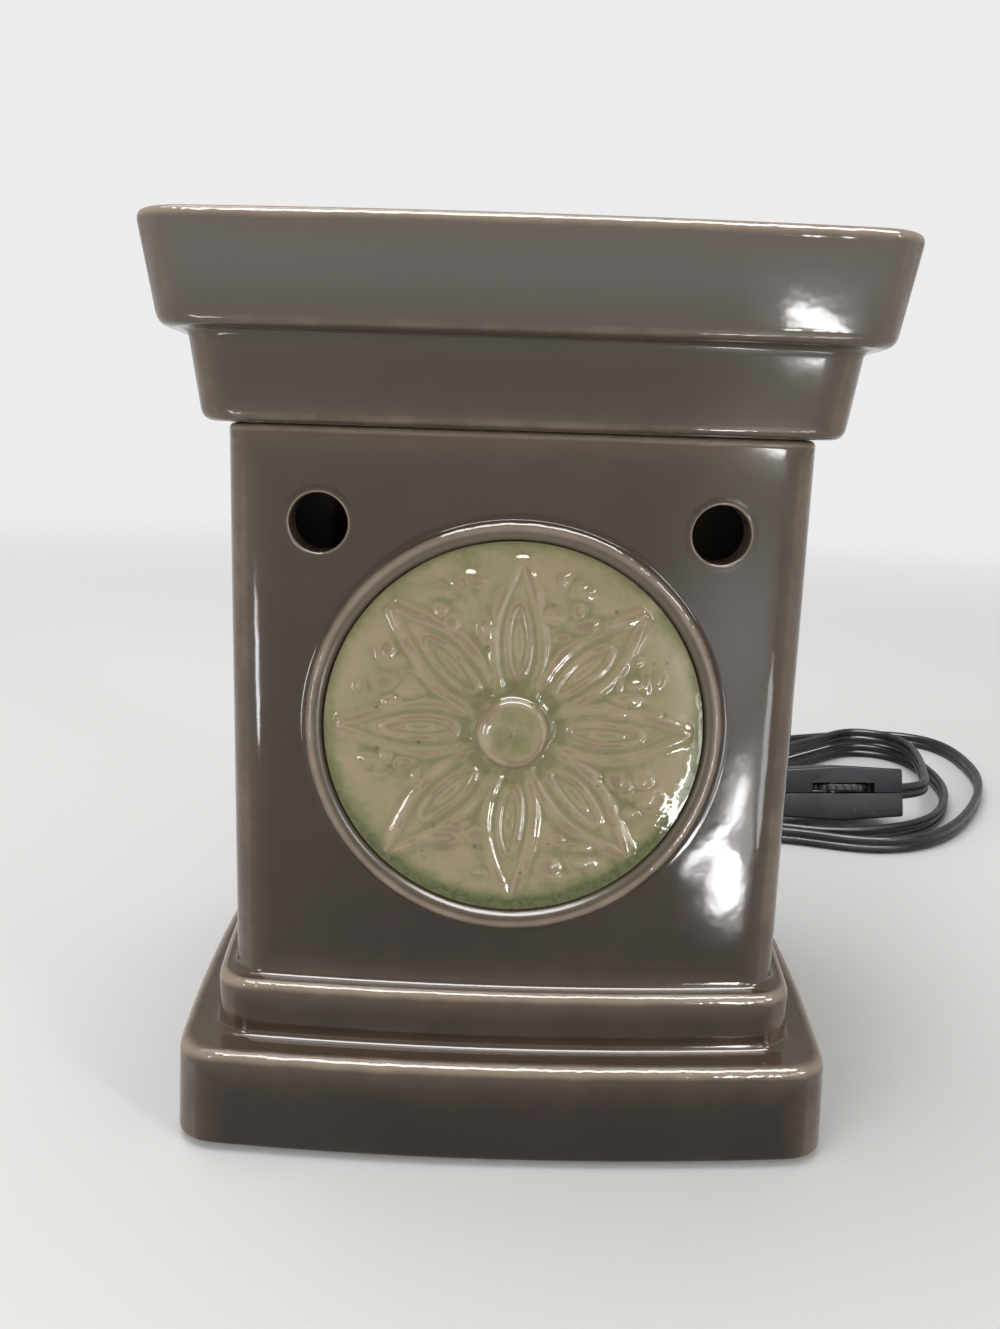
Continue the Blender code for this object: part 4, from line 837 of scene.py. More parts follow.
class WARMER_OT_stage(bpy.types.Operator):
    """Pale floor, soft light and the camera at the photograph's angle."""

    bl_idname = "warmer.stage"
    bl_label = "Stage"

    def execute(self, context):
        studio = context.scene.warmer_studio
        scene = context.scene
        scene.view_settings.view_transform = "Standard"
        deselect()
        bpy.ops.mesh.primitive_plane_add(size=FLOOR_SIZE, location=(0, 0, 0))
        floor = context.active_object
        floor.name = "floor"
        floor.data.materials.append(self.floor_finish(studio.backdrop))
        self.sky(scene, studio)
        self.lamps()
        self.camera(scene, studio)
        return {"FINISHED"}

    def floor_finish(self, backdrop):
        """Pale card that runs out into the background far away."""
        finish, net, shader, place = new_finish("pale_floor")
        nodes = finish.node_tree.nodes
        nodes.remove(shader)
        cloud = net.noise(place, 3.0, 3.0, 0.5)
        pale = net.mix(cloud, (0.78, 0.775, 0.77), (0.81, 0.805, 0.80))
        card = net.add("ShaderNodeBsdfDiffuse", Color=pale)
        far = net.add("ShaderNodeEmission", Color=(backdrop, backdrop, backdrop, 1), Strength=1.0)
        share = net.spread(net.length(place), 0.3, 1.4)
        rays = net.add("ShaderNodeLightPath").outputs
        seen = net.math("MAXIMUM", rays["Is Glossy Ray"], rays["Is Transmission Ray"])
        seen = net.math("MAXIMUM", rays["Is Camera Ray"], seen)
        share = net.math("MULTIPLY", share, seen)
        net.blend(share, card.outputs[0], far.outputs[0], nodes["Material Output"])
        return finish

    def sky(self, scene, studio):
        """Even light, with the background's brightness for what the camera sees, also through glass."""
        world = bpy.data.worlds.new("studio")
        scene.world = world
        world.use_nodes = True
        net, nodes, grey = Net(world.node_tree), world.node_tree.nodes, studio.backdrop
        even = net.give(nodes["Background"], Color=(1.0, 0.985, 0.96, 1), Strength=studio.sky)
        shown = net.add("ShaderNodeBackground", Color=(grey, grey, grey, 1), Strength=1.0)
        rays = net.add("ShaderNodeLightPath").outputs
        seen = net.math("MAXIMUM", rays["Is Camera Ray"], rays["Is Transmission Ray"])
        net.blend(seen, even.outputs[0], shown.outputs[0], nodes["World Output"])

    def lamps(self):
        """Softboxes that light the warmer, and bright panels that show only in its gloss."""
        for name, kind, place, aim, size, power, lean in LAMPS:
            deselect()
            bpy.ops.object.light_add(type="AREA", location=place)
            lamp = bpy.context.active_object
            lamp.name = name
            lamp.data.shape = "ELLIPSE" if kind == "gloss" and size[0] < OVAL_BELOW else "RECTANGLE"
            lamp.data.size, lamp.data.size_y = size
            lamp.data.energy = power
            ahead = Vector(aim or (place[0], 0, place[2])) - Vector(place)
            face = ahead.to_track_quat("-Z", "Y").to_matrix()
            lamp.rotation_euler = (face @ Matrix.Rotation(math.radians(lean), 3, "Z")).to_euler()
            lamp.visible_camera = False
            lamp.visible_diffuse = kind == "light"
            lamp.visible_glossy = name != "front_left"
            if name.endswith("veil"):
                self.soften(lamp)

    def soften(self, lamp):
        """Let a panel's light fade out towards its edge."""
        lamp.data.use_nodes = True
        net = Net(lamp.data.node_tree)
        across = net.add("ShaderNodeVectorMath", {"operation": "SUBTRACT"})
        net.join(across.inputs[0], net.add("ShaderNodeNewGeometry").outputs["Parametric"])
        net.join(across.inputs[1], (0.5, 0.5, 0.0))
        fade = net.spread(net.length(across.outputs["Vector"]), 0.0, 0.5, 1.0, 0.0)
        net.give(lamp.data.node_tree.nodes["Emission"], Strength=net.math("MULTIPLY", fade, fade))

    def camera(self, scene, studio):
        """Camera solved from the tiers' edges."""
        deselect()
        bpy.ops.object.camera_add(location=studio.camera_place)
        camera = bpy.context.active_object
        camera.name = "photo_camera"
        ahead = Vector((math.sin(studio.yaw) * math.cos(studio.pitch),
                        math.cos(studio.yaw) * math.cos(studio.pitch), -math.sin(studio.pitch)))
        level = Vector((math.cos(studio.yaw), -math.sin(studio.yaw), 0.0))
        above = level.cross(ahead)
        right = level * math.cos(studio.roll) + above * math.sin(studio.roll)
        up = above * math.cos(studio.roll) - level * math.sin(studio.roll)
        turn = Matrix((right, up, -ahead)).transposed().to_4x4()
        camera.matrix_world = Matrix.Translation(studio.camera_place) @ turn
        camera.data.lens = studio.focal
        camera.data.sensor_width = SENSOR
        camera.data.clip_start = 0.01
        scene.camera = camera


class WARMER_OT_lead(bpy.types.Operator):
    """Flat two-core lead, from the body to the switch and from the switch to the plug."""

    bl_idname = "warmer.lead"
    bl_label = "Lead"

    def execute(self, context):
        sizes = context.scene.warmer_sizes
        along = switch_axis()
        reach = SWITCH_LENGTH / 2 + TOUCH_GAP
        into_switch = SWITCH_CENTRE - along * reach
        out_of_switch = SWITCH_CENTRE + along * reach
        into_plug = PLUG_END + Vector((0, TOUCH_GAP, 0))
        lying = [(x, y, LYING) for x, y in LOOP_ROUTE]
        first = [CORD_EXIT, *cubic_route([*LEAD_ROUTE, *lying, RISE_TO_SWITCH, into_switch - along * STUB]),
                 into_switch]
        last = [out_of_switch, *cubic_route(
            [out_of_switch + along * STUB, *TAIL_ROUTE, into_plug + Vector((0, STUB, 0))]), into_plug]
        lead = self.flat_cord("lead_to_switch", first, sizes)
        tail = self.flat_cord("lead_to_plug", last, sizes)
        carried(lead, "warmer", "cord", "cord_black", "cord_lead", "cord_loops")
        carried(tail, "warmer", "cord", "cord_black", "cord_tail")
        return {"FINISHED"}

    def flat_cord(self, name, route, sizes):
        """Two round cores side by side with a web between, swept along a route on edge."""
        core = sizes.cord_thickness / 2
        offset = (sizes.cord_width - sizes.cord_thickness) / 2
        web = math.radians(38)
        arc = np.linspace(web - math.pi / 2, math.pi * 1.5 - web, 15)
        ring = [(core * math.cos(a), offset + core * math.sin(a), 0.0) for a in arc]
        ring += [(-x, -y, z) for x, y, z in ring]
        profile = self.line(name + "_section", ring, dimensions="2D")
        profile.data.splines[0].use_cyclic_u = True
        self.line(name, route, dimensions="3D", twist_mode="Z_UP", bevel_mode="OBJECT", bevel_object=profile,
                  use_fill_caps=True)
        bpy.ops.object.convert(target="MESH")
        piece = bpy.context.active_object
        drop(profile)
        edit(piece)
        bpy.ops.mesh.remove_doubles(threshold=0.01 * MM)
        close_edit(outward=True)
        return smooth(piece)

    def line(self, name, points, **settings):
        """Curve through points, selected and active."""
        curve = bpy.data.curves.new(name, "CURVE")
        for setting, value in settings.items():
            setattr(curve, setting, value)
        spline = curve.splines.new("POLY")
        spline.points.add(len(points) - 1)
        for knot, point in zip(spline.points, points):
            knot.co = (*point, 1.0)
        piece = bpy.data.objects.new(name, curve)
        bpy.context.scene.collection.objects.link(piece)
        only(piece)
        return piece


class WARMER_OT_body(bpy.types.Operator):
    """Glazed body with its vents and the bead round the rosette's seat."""

    bl_idname = "warmer.body"
    bl_label = "Body"

    def execute(self, context):
        sizes = context.scene.warmer_sizes
        self.column(sizes)
        self.bead(sizes)
        self.vents(sizes)
        return {"FINISHED"}

    def column(self, sizes):
        """Hollow column on its stepped plinth."""
        ledge = BASE_BOTTOM + 2.3 * MM
        rebate = COVER_HALF + TOUCH_GAP
        steps = rounded([
            (COLUMN_INSIDE / 2, FLOOR_HIGH, 0), (COLUMN_INSIDE, FLOOR_HIGH, 3 * MM),
            (COLUMN_INSIDE, COLUMN_TOP, 1 * MM), (COLUMN_HALF, COLUMN_TOP, 1.2 * MM),
            (COLUMN_HALF, STEP_TOP, 1.4 * MM), (STEP_HALF, STEP_TOP, 2 * MM),
            (STEP_HALF, PLINTH_TOP, 1.4 * MM), (PLINTH_HIGH, PLINTH_TOP, 2 * MM),
            (PLINTH_LOW, BASE_BOTTOM, 1 * MM), (rebate, BASE_BOTTOM, 0), (rebate, ledge, 0),
            (CAVITY_HALF, ledge, 0), (CAVITY_HALF, FLOOR_LOW, 0), (CAVITY_HALF / 2, FLOOR_LOW, 0),
        ], run=4 * MM)
        body = raised("column_body", steps, outline=bowed_outline(20, 5))
        subdivided(body)
        mark_edges(body, 4.2 * MM, STEP_TOP + 2 * MM)
        self.mark_bare(body)
        facing = (math.pi / 2, 0, 0)
        seat_depth = 12 * MM
        seat = (0, SEAT_FLOOR - seat_depth / 2, ROSETTE_HEIGHT)
        cut(body, SEAT_RADIUS + 1.2 * MM, seat_depth, seat, facing, 128)
        for side in (-1, 1):
            cut(body, sizes.vent_radius + 1.2 * MM, 0.2, (side * VENT_OFFSET, 0, VENT_HEIGHT), facing)
        cut(body, NIPPLE_HOLE, 26 * MM, (0, 0, (FLOOR_LOW + FLOOR_HIGH) / 2), sides=32)
        cut(body, CORD_HOLE, 30 * MM, (0, bowed_depth(PLINTH_HIGH, 0), CORD_EXIT.z), facing, 32)
        smooth(body)
        carried(body, "warmer", "brown", "brown_glaze", "warmer_body")

    def mark_bare(self, body):
        """Keep where the clay is bare: inside the column and under the plinth."""
        places = np.abs(read_values(body.data.vertices, "co", 3))
        far, near, up = places[:, :2].max(1), places[:, :2].min(1), places[:, 2]
        half = far / (1 + BOW * (1 - (near / np.maximum(far, 1e-6)) ** 2))
        inside = half < (COLUMN_INSIDE + COLUMN_HALF) / 2
        inside &= (up < COLUMN_TOP - 0.5 * MM) & (up > FLOOR_HIGH - MM)
        under = (half < PLINTH_LOW - 2 * MM) & (up < FLOOR_LOW + MM)
        keep_values(body, bare=inside | under)

    def laid_on_face(self, piece, x, z, front=True):
        """Stand a turned ring on the column's bowed face."""
        side = 1 if front else -1
        for vert in piece.data.vertices:
            across, up, out = vert.co
            away = bowed_depth(COLUMN_HALF, x + across) + out
            vert.co = (x + side * across, -side * away, z + up)

    def bead(self, sizes):
        """Half-round bead that frames the rosette, flowing into the column."""
        radius = sizes.bead_radius
        centre = SEAT_RADIUS + radius
        low = -radius / 2
        sink = -0.02 * MM
        leave = math.radians(36)
        arc = [(centre + radius * math.cos(a), low + radius * math.sin(a))
               for a in np.linspace(math.pi, leave, 15)]
        start = Vector(arc[-1])
        end = Vector((start.x + 1.9 * MM, sink))
        knee = Vector((start.x + start.y * math.tan(leave) + 0.1 * MM, sink))
        flow = [tuple(start * (1 - t) ** 2 + knee * 2 * t * (1 - t) + end * t ** 2)
                for t in np.linspace(0.15, 1, 7)]
        deep = -3.2 * MM
        steps = [(arc[0][0], deep), (arc[0][0], deep / 2), *arc, *flow, (end.x, deep)]
        ring = raised("rosette_bead", steps, sides=192, loop=True)
        # The bead's inner flank is paled towards clay: painted light that lifts the shade in the groove round
        # the rosette.
        self.mark_ring(ring, centre + 0.35 * MM, 1.25 * MM, 0.84, 0.22)
        self.laid_on_face(ring, 0.0, ROSETTE_HEIGHT)
        edit(ring)
        close_edit(outward=True)
        smooth(ring, 60)
        carried(ring, "warmer", "brown", "brown_glaze")

    def vents(self, sizes):
        """Rounded lips of the four vents."""
        bore = sizes.vent_radius
        steps = [(bore + out * MM, up * MM) for out, up in (
            (0, -5.9), (0, -3), (0, -1.0), (0.02, -0.55), (0.10, -0.26), (0.24, -0.08), (0.42, 0.02),
            (0.65, 0.05), (0.95, 0.035), (1.3, 0.005), (1.8, -0.02), (1.8, -5.9))]
        lips = []
        for front in (True, False):
            for side in (-1, 1):
                lip = raised("vent_lip", steps, loop=True)
                # The vents' bores are paled a little towards clay.
                self.mark_ring(lip, bore + 0.32 * MM, 0.30 * MM, 0.90, 0.06)
                self.laid_on_face(lip, side * VENT_OFFSET, VENT_HEIGHT, front)
                lips.append(lip)
        only(lips[0])
        for lip in lips[1:]:
            lip.select_set(True)
        bpy.ops.object.join()
        joined = bpy.context.active_object
        joined.name = "vent_lips"
        edit(joined)
        close_edit(outward=True)
        smooth(joined, 60)
        carried(joined, "warmer", "brown", "brown_glaze")

    def mark_ring(self, piece, crest, width, strength, bare):
        """Keep where a turned ring's glaze breaks at its crest, and how far its inner wall is paled towards
        clay.
        """
        places = read_values(piece.data.vertices, "co", 3)
        r = np.hypot(places[:, 0], places[:, 1])
        bend = strength * np.exp(-((r - crest) / width) ** 2)
        keep_values(piece, edge=bend, glow=bend, bare=bare * np.clip(1.1 * (crest - r) / width - 0.4, 0, 1))


class WARMER_OT_dish(bpy.types.Operator):
    """Lift-off wax dish with its flared basin."""

    bl_idname = "warmer.dish"
    bl_label = "Wax dish"

    def execute(self, context):
        steps = rounded([
            (BASIN_HALF / 2, BASIN_FLOOR, 0), (BASIN_HALF, BASIN_FLOOR, 5 * MM),
            (BASIN_TOP_HALF, RIM_TOP, 2 * MM), (RIM_HIGH, RIM_TOP, 2 * MM),
            (RIM_LOW, COLLAR_TOP, 2 * MM), (COLLAR_HIGH, COLLAR_TOP, 1.4 * MM),
            (COLLAR_LOW, DISH_BOTTOM, 2 * MM), (LIP_OUTSIDE, DISH_BOTTOM, 0),
            (LIP_OUTSIDE, DISH_BOTTOM - 4 * MM, 0), (LIP_INSIDE, DISH_BOTTOM - 4 * MM, 0),
            (LIP_INSIDE, BASIN_FLOOR - 5 * MM, 0), (LIP_INSIDE / 2, BASIN_FLOOR - 5 * MM, 0),
        ], run=3 * MM)
        dish = raised("glazed_dish", steps, outline=bowed_outline(20, 5))
        subdivided(dish)
        mark_edges(dish, 3.2 * MM)
        smooth(dish)
        carried(dish, "dish", "brown", "brown_glaze", "wax_dish")
        return {"FINISHED"}


class WARMER_OT_rosette(bpy.types.Operator):
    """Rosette: a pressed disc under thick celadon glaze."""

    bl_idname = "warmer.rosette"
    bl_label = "Rosette"

    def execute(self, context):
        sizes = context.scene.warmer_sizes
        deselect()
        bpy.ops.mesh.primitive_grid_add(x_subdivisions=DISC_CELLS, y_subdivisions=DISC_CELLS, size=2.0)
        disc = context.active_object
        disc.name = "rosette"
        mesh = disc.data
        u, v, _ = read_values(mesh.vertices, "co", 3).T
        x, z = self.on_disc(u, v)
        height, pits = self.relief(x, z, sizes)
        places = np.column_stack([x, ROSETTE_FRONT - height, z + ROSETTE_HEIGHT])
        mesh.vertices.foreach_set("co", places.ravel())
        self.mark_glaze(disc, x, z, height, pits)
        edit(disc)
        select_rims()
        bpy.ops.mesh.extrude_region_move(TRANSFORM_OT_translate={"value": (0, 1.3 * MM, 0)})
        bpy.ops.mesh.fill_holes(sides=0)
        close_edit(outward=True)
        smooth(disc, 60)
        carried(disc, "warmer", "green", "green_glaze", "medallion")
        return {"FINISHED"}

    def on_disc(self, u, v):
        """Places on the disc for the points of a square grid."""
        wide = np.abs(u) >= np.abs(v)
        far = np.where(wide, u, v)
        safe = np.where(np.abs(far) < 1e-9, 1.0, far)
        angle = np.where(wide, math.pi / 4 * v / safe, math.pi / 2 - math.pi / 4 * u / safe)
        return ROSETTE_RADIUS * far * np.cos(angle), ROSETTE_RADIUS * far * np.sin(angle)

    def oval(self, u, v, long, wide):
        """Distance from an oval that lies along a petal, below 0 inside it."""
        share = np.sqrt((u / long) ** 2 + (v / wide) ** 2)
        slope = np.sqrt((u / long ** 2) ** 2 + (v / wide ** 2) ** 2)
        return (share - 1) * (share + 1e-6) / (slope + 1e-6)

    def petal(self, along, across, stretch, fat):
        """Share of the ridges' height over one petal: its outline, body, eye and seed."""
        ahead_by = 0.2 * MM
        width = np.interp(along / stretch, PETAL_AT, PETAL_HALF) * fat
        ahead = np.interp(along / stretch + ahead_by, PETAL_AT, PETAL_HALF) * fat
        gap = (np.abs(across) - width) / np.hypot(1, (ahead - width) / ahead_by)
        within = (along > PETAL_AT[0]) & (along < PETAL_AT[-1] * stretch)
        outline = np.exp(-(gap / (1.05 * MM)) ** 2)
        body = 0.22 / (1 + np.exp(gap / (0.25 * MM)))
        eye = self.oval(along - EYE_AT, across, 6.4 * MM, 1.85 * MM)
        kernel = self.oval(along - EYE_AT, across, 3.5 * MM, 0.85 * MM)
        slot = np.exp(-(across / (0.32 * MM)) ** 2) * np.exp(-((along - EYE_AT) / (2.2 * MM)) ** 4)
        rings = 0.76 * np.exp(-(eye / (0.68 * MM)) ** 2)
        seed = 0.62 / (1 + np.exp(kernel / (0.16 * MM))) - 0.5 * slot
        return np.where(within, np.maximum(np.maximum(outline, rings), np.maximum(body, seed)), 0)

    def relief(self, x, z, sizes):
        """Height of the pressed rosette over its plate, and where its glaze is pitted."""
        draw = np.random.default_rng(RELIEF_SEED)
        wave = 0.20 * MM
        x = x + wave * np.sin(z * 310 + 1.0) + 0.6 * wave * np.sin(x * 520 + z * 240)
        z = z + wave * np.sin(x * 290 + 2.2) + 0.6 * wave * np.sin(z * 480 - x * 260)
        r = np.hypot(x, z)
        height, pits = np.zeros_like(r), np.zeros_like(r)
        for k in range(sizes.petals):
            turn = 2 * math.pi * k / sizes.petals + draw.uniform(-0.03, 0.03)
            along = x * math.cos(turn) + z * math.sin(turn)
            across = -x * math.sin(turn) + z * math.cos(turn)
            stretch, fat = draw.uniform(0.98, 1.01), draw.uniform(0.95, 1.05)
            height = np.maximum(height, sizes.ridge_height * self.petal(along, across, stretch, fat))
            between = turn + math.pi / sizes.petals
            for _ in range(LUMPS_PER_GAP):
                spot = draw.uniform(18.5, 28.6) * MM
                lean = between + draw.uniform(-0.19, 0.19)
                wide = draw.uniform(1.0, 2.0) * MM
                tall = wide * draw.uniform(0.34, 0.55)
                skew = draw.uniform(0.7, 1.45)
                bx = (x - spot * math.cos(lean)) / (wide * skew)
                bz = (z - spot * math.sin(lean)) * skew / wide
                height = np.maximum(height, tall * np.exp(-(bx ** 2 + bz ** 2) ** 1.2))
            for _ in range(PITS_PER_GAP):
                spot, lean = draw.uniform(15, 29.5) * MM, between + draw.uniform(-0.36, 0.36)
                size = draw.uniform(0.25, 0.55) * MM
                pit = np.exp(-(np.hypot(x - spot * math.cos(lean), z - spot * math.sin(lean)) / size) ** 2)
                height -= draw.uniform(0.10, 0.28) * MM * pit
                pits = np.maximum(pits, draw.uniform(0.3, 1.0) * pit)
        return self.with_boss(x, z, r, height, pits)

    def with_boss(self, x, z, r, height, pits):
        """Set the bowl-shaped boss into the relief's middle, and let the disc's edge fall away."""
        boss = BOSS_RADIUS
        inside = (0.20 + 1.55 * (r / boss) ** 2.6) * MM + 0.28 * MM * np.exp(-(r / (0.5 * MM)) ** 2)
        wall = 1.50 * MM / (1 + np.exp((r - 1.03 * boss) / (0.20 * MM)))
        blend = 0.12 * MM
        bowl = -blend * np.log(np.exp(-inside / blend) + np.exp(-wall / blend))
        pits = np.maximum(pits, 0.8 * np.exp(-(np.hypot(x + 0.3 * MM, z + 0.6 * MM) / (0.35 * MM)) ** 2))
        height = height * np.clip((r - boss) / (1.6 * MM), 0, 1) ** 0.7
        height -= 0.45 * MM * np.exp(-((r - 8.0 * MM) / (1.7 * MM)) ** 2)
        height = np.where(r < 1.2 * boss, np.maximum(bowl, height), height)
        fade = np.clip((r - 30.4 * MM) / (3.1 * MM), 0, 1)
        pillow = np.clip((r - PILLOW_FROM) / (ROSETTE_RADIUS - PILLOW_FROM), 0, 1)
        drop = (0.95 - 0.55 * self.lower_side(x, z) ** 2) * MM
        return height * (1 - fade) - drop * pillow ** 2, pits

    def lower_side(self, x, z):
        """How far a place lies towards the disc's bottom, where the glaze ran: 0 to 1."""
        return np.clip(0.5 + 0.5 * (0.10 * x - 0.995 * z) / np.maximum(np.hypot(x, z), 1e-6), 0, 1)

    def mark_glaze(self, disc, x, z, height, pits):
        """Keep where the glaze lies thick and where it ran off the ridges."""
        count = len(height)
        edges = read_values(disc.data.edges, "vertices", 2, int)
        near = height[:, None]
        for _ in range(NEAR_BLUR):
            near = neighbour_mean(near, edges, count)
        wide = near
        for _ in range(WIDE_BLUR):
            wide = neighbour_mean(wide, edges, count)
        proud = (height - wide[:, 0]) / (0.34 * MM)
        r = np.hypot(x, z)
        below = self.lower_side(x, z)
        skirt = np.clip((r - 28.6 * MM) / (3.4 * MM), 0, 1) ** 1.5 * (0.18 + 1.35 * below ** 2.0)
        moat = np.exp(-((r - 7.4 * MM) / (5.2 * MM)) ** 2)
        moat = moat * np.clip(0.8 - 0.45 * proud, 0, 1.0) * (0.50 - 0.20 * below)
        eye = np.exp(-(r / (4.6 * MM)) ** 4) * (0.34 + 0.34 * below)
        hollow = np.clip(-proud, 0, 1) * np.interp(r, np.array([7.0, 13.0]) * MM, [0.30, 0.80])
        pool = np.where(r < 0.95 * BOSS_RADIUS, eye, hollow + skirt + moat)
        ridge = np.clip((height - near[:, 0]) / (0.24 * MM), -1, 1.5)
        ridge = ridge * np.clip((r - 0.7 * BOSS_RADIUS) / (0.2 * BOSS_RADIUS), 0, 1)
        keep_values(disc, pool=pool, ridge=ridge, pits=pits)


class WARMER_OT_lamp(bpy.types.Operator):
    """Lamp holder and globe lamp."""

    bl_idname = "warmer.lamp"
    bl_label = "Lamp"

    def execute(self, context):
        self.socket()
        self.globe()
        dress("steel", "lamp_nipple", "nipple_washer", "nipple_nut", "bulb_contact")
        dress("brass", "socket_contact")
        dress("glass", "bulb_stem")
        dress("filament", "bulb_filament")
        dress("sleeve", "wire_live", "wire_neutral")
        return {"FINISHED"}

    def socket(self):
        """Ribbed phenolic cup with its brass screw shell."""
        low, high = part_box("socket_cup")
        outer, bore = (high.x - low.x) / 2, 7.1 * MM
        floor = low.z + 6.2 * MM
        ribs = []
        for z in np.linspace(high.z - 2.4 * MM, high.z - 9.6 * MM, 4):
            ribs += [(outer, z + 0.7 * MM), (outer - 0.35 * MM, z + 0.35 * MM),
                     (outer - 0.35 * MM, z - 0.35 * MM), (outer, z - 0.7 * MM)]
        steps = [(bore, high.z), (outer - 0.9 * MM, high.z), (outer - 0.3 * MM, high.z - 0.3 * MM),
                 (outer, high.z - 0.9 * MM), *ribs, (outer, low.z + 0.4 * MM), (outer - 0.4 * MM, low.z),
                 (NIPPLE_HOLE, low.z), (NIPPLE_HOLE, floor), (bore, floor)]
        cup = smooth(raised("lamp_socket_cup", steps, loop=True), 30)
        carried(cup, "warmer", "phenolic", "phenolic", "socket_cup")
        low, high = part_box("socket_shell")
        outer, inner = (high.x - low.x) / 2, (high.x - low.x) / 2 - 0.55 * MM
        thread = [(inner - 0.28 * MM * (i % 2), z) for i, z in enumerate(np.linspace(low.z, high.z, 15))]
        steps = [*thread, (outer, high.z), (outer, low.z)]
        shell = smooth(raised("lamp_screw_shell", steps, loop=True))
        carried(shell, "warmer", "brass", "brass", "socket_shell")

    def globe(self):
        """Clear globe on its threaded cap."""
        low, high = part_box("bulb_cap")
        radius = (high.x - low.x) / 2
        thread = []
        for i, z in enumerate(np.linspace(high.z - 1.2 * MM, low.z + 3.6 * MM, 15)):
            thread.append((radius - (0.55 * MM if i % 2 else 0.0), z))
        well, pocket = 5.3 * MM, high.z - 4 * MM
        steps = [(well / 2, pocket), (well, pocket), (well, high.z), (radius - 0.2 * MM, high.z), *thread,
                 (2.2 * MM, low.z), (1.1 * MM, low.z)]
        cap = smooth(raised("lamp_cap", steps), 30)
        carried(cap, "bulb", "brass", "brass", "bulb_cap")
        low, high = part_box("bulb_glass")
        globe, wall, neck = (high.x - low.x) / 2, 0.8 * MM, 5.0 * MM
        centre = high.z - globe
        begin = math.pi - math.asin((neck + 1.2 * MM) / globe)
        outer = [(globe * math.sin(a), centre + globe * math.cos(a)) for a in np.linspace(0.02, begin, 40)]
        throat = [(neck + 0.35 * MM, outer[-1][1] - 1.4 * MM), (neck, outer[-1][1] - 3.4 * MM), (neck, low.z)]
        inside = globe - wall
        inner = [(inside * math.sin(a), centre + inside * math.cos(a)) for a in np.linspace(begin, 0.02, 40)]
        back = [(neck - wall, low.z), (neck - wall, outer[-1][1] - 3.4 * MM)]
        glass = raised("lamp_globe", [*outer, *throat, *back, *inner], sides=72)
        smooth(glass, 60)
        carried(glass, "bulb", "glass", "clear_glass", "bulb_glass")


class WARMER_OT_switch(bpy.types.Operator):
    """In-line thumb-wheel switch."""

    bl_idname = "warmer.switch"
    bl_label = "Switch"

    def execute(self, context):
        turn = Matrix.Rotation(SWITCH_TURN, 4, "Z") @ Matrix.Rotation(SWITCH_LEAN, 4, "X")
        self.pose = Matrix.Translation(SWITCH_CENTRE) @ turn
        self.shell("switch_top", 1, "switch_upper_shell")
        self.shell("switch_bottom", -1, "switch_lower_shell")
        self.wheel()
        dress("steel", "switch_axle", "switch_screw")
        return {"FINISHED"}

    def shell(self, name, side, node):
        """One half of the case: a block with a low ridge across its middle."""
        end, crown = 8.0 * MM, 9.2 * MM
        half = open_block(name, (SWITCH_LENGTH, SWITCH_WIDTH, end - PARTING))
        bpy.ops.transform.translate(value=(0, 0, (end + PARTING) / 2))
        bpy.ops.mesh.bisect(plane_co=(0, 0, 0), plane_no=(1, 0, 0))
        form = bmesh.from_edit_mesh(half.data)
        for vert in form.verts:
            vert.select = abs(vert.co.x) < MM and vert.co.z > end / 2
        form.select_flush_mode()
        bmesh.update_edit_mesh(half.data)
        bpy.ops.transform.translate(value=(0, 0, crown - end))

        def outside(edge):
            a, b = (v.co.z for v in edge.verts)
            return (min(a, b) > end / 2 or abs(a - b) > end / 2) and edge.calc_face_angle() > SHARP

        def at_parting(edge):
            return all(v.co.z < PARTING + 0.01 * MM for v in edge.verts) and edge.calc_face_angle(0) > SHARP

        bevel_edges(half, outside, 0.75 * MM, 4)
        bevel_edges(half, at_parting, 0.18 * MM, 2)
        close_edit()
        if side > 0:
            self.hollow(half)
        else:
            half.data.transform(Matrix.Rotation(math.pi, 4, "X"))
            cut(half, 2.9 * MM, 9 * MM, (*SCREW_AT, -7.5 * MM), sides=40)
        cut(half, AXLE_BORE, 11.6 * MM, (0, 0, 0), sides=32)
        cut(half, 1.7 * MM, 6.6 * MM, (*SCREW_AT, 0), sides=32)
        smooth(half, 32)
        half.data.transform(self.pose)
        carried(half, "warmer", "switch", "switch_black", node)

    def hollow(self, half):
        """Room for the wheel, and the slot that it shows in."""
        room = 3.3 * MM
        level = PARTING + room / 2
        cut(half, 12.5 * MM, room, (0, 0, level), sides=96)
        open_block("wheel_slot", (22 * MM, 5 * MM, room), (0, -SWITCH_WIDTH / 2, level))
        close_edit()
        carve(half)

    def wheel(self):
        """Notched wheel with a chamfered rim."""
        low = PARTING + 0.5 * MM
        radius, thick, bore = 12.0 * MM, 2.3 * MM, AXLE_BORE
        steps = [(bore, low), (radius - 0.5 * MM, low), (radius, low + 0.5 * MM),
                 (radius, low + thick - 0.5 * MM), (radius - 0.5 * MM, low + thick),
                 (radius - 3 * MM, low + thick), (radius - 3.4 * MM, low + thick - 0.4 * MM),
                 (bore + 2 * MM, low + thick - 0.4 * MM),
                 (bore + 1.6 * MM, low + thick), (bore, low + thick)]
        wheel = raised("switch_thumb_wheel", steps, sides=192, loop=True)
        for vert in wheel.data.vertices:
            out = math.hypot(vert.co.x, vert.co.y)
            if out > radius - 0.6 * MM:
                angle = math.atan2(vert.co.y, vert.co.x)
                dip = 0.4 * MM * max(0.0, math.cos(NOTCHES * angle)) ** 2
                vert.co.x *= (out - dip) / out
                vert.co.y *= (out - dip) / out
        smooth(wheel, 32)
        wheel.data.transform(self.pose)
        carried(wheel, "thumb_wheel", "wheel", "switch_black", "switch_wheel")


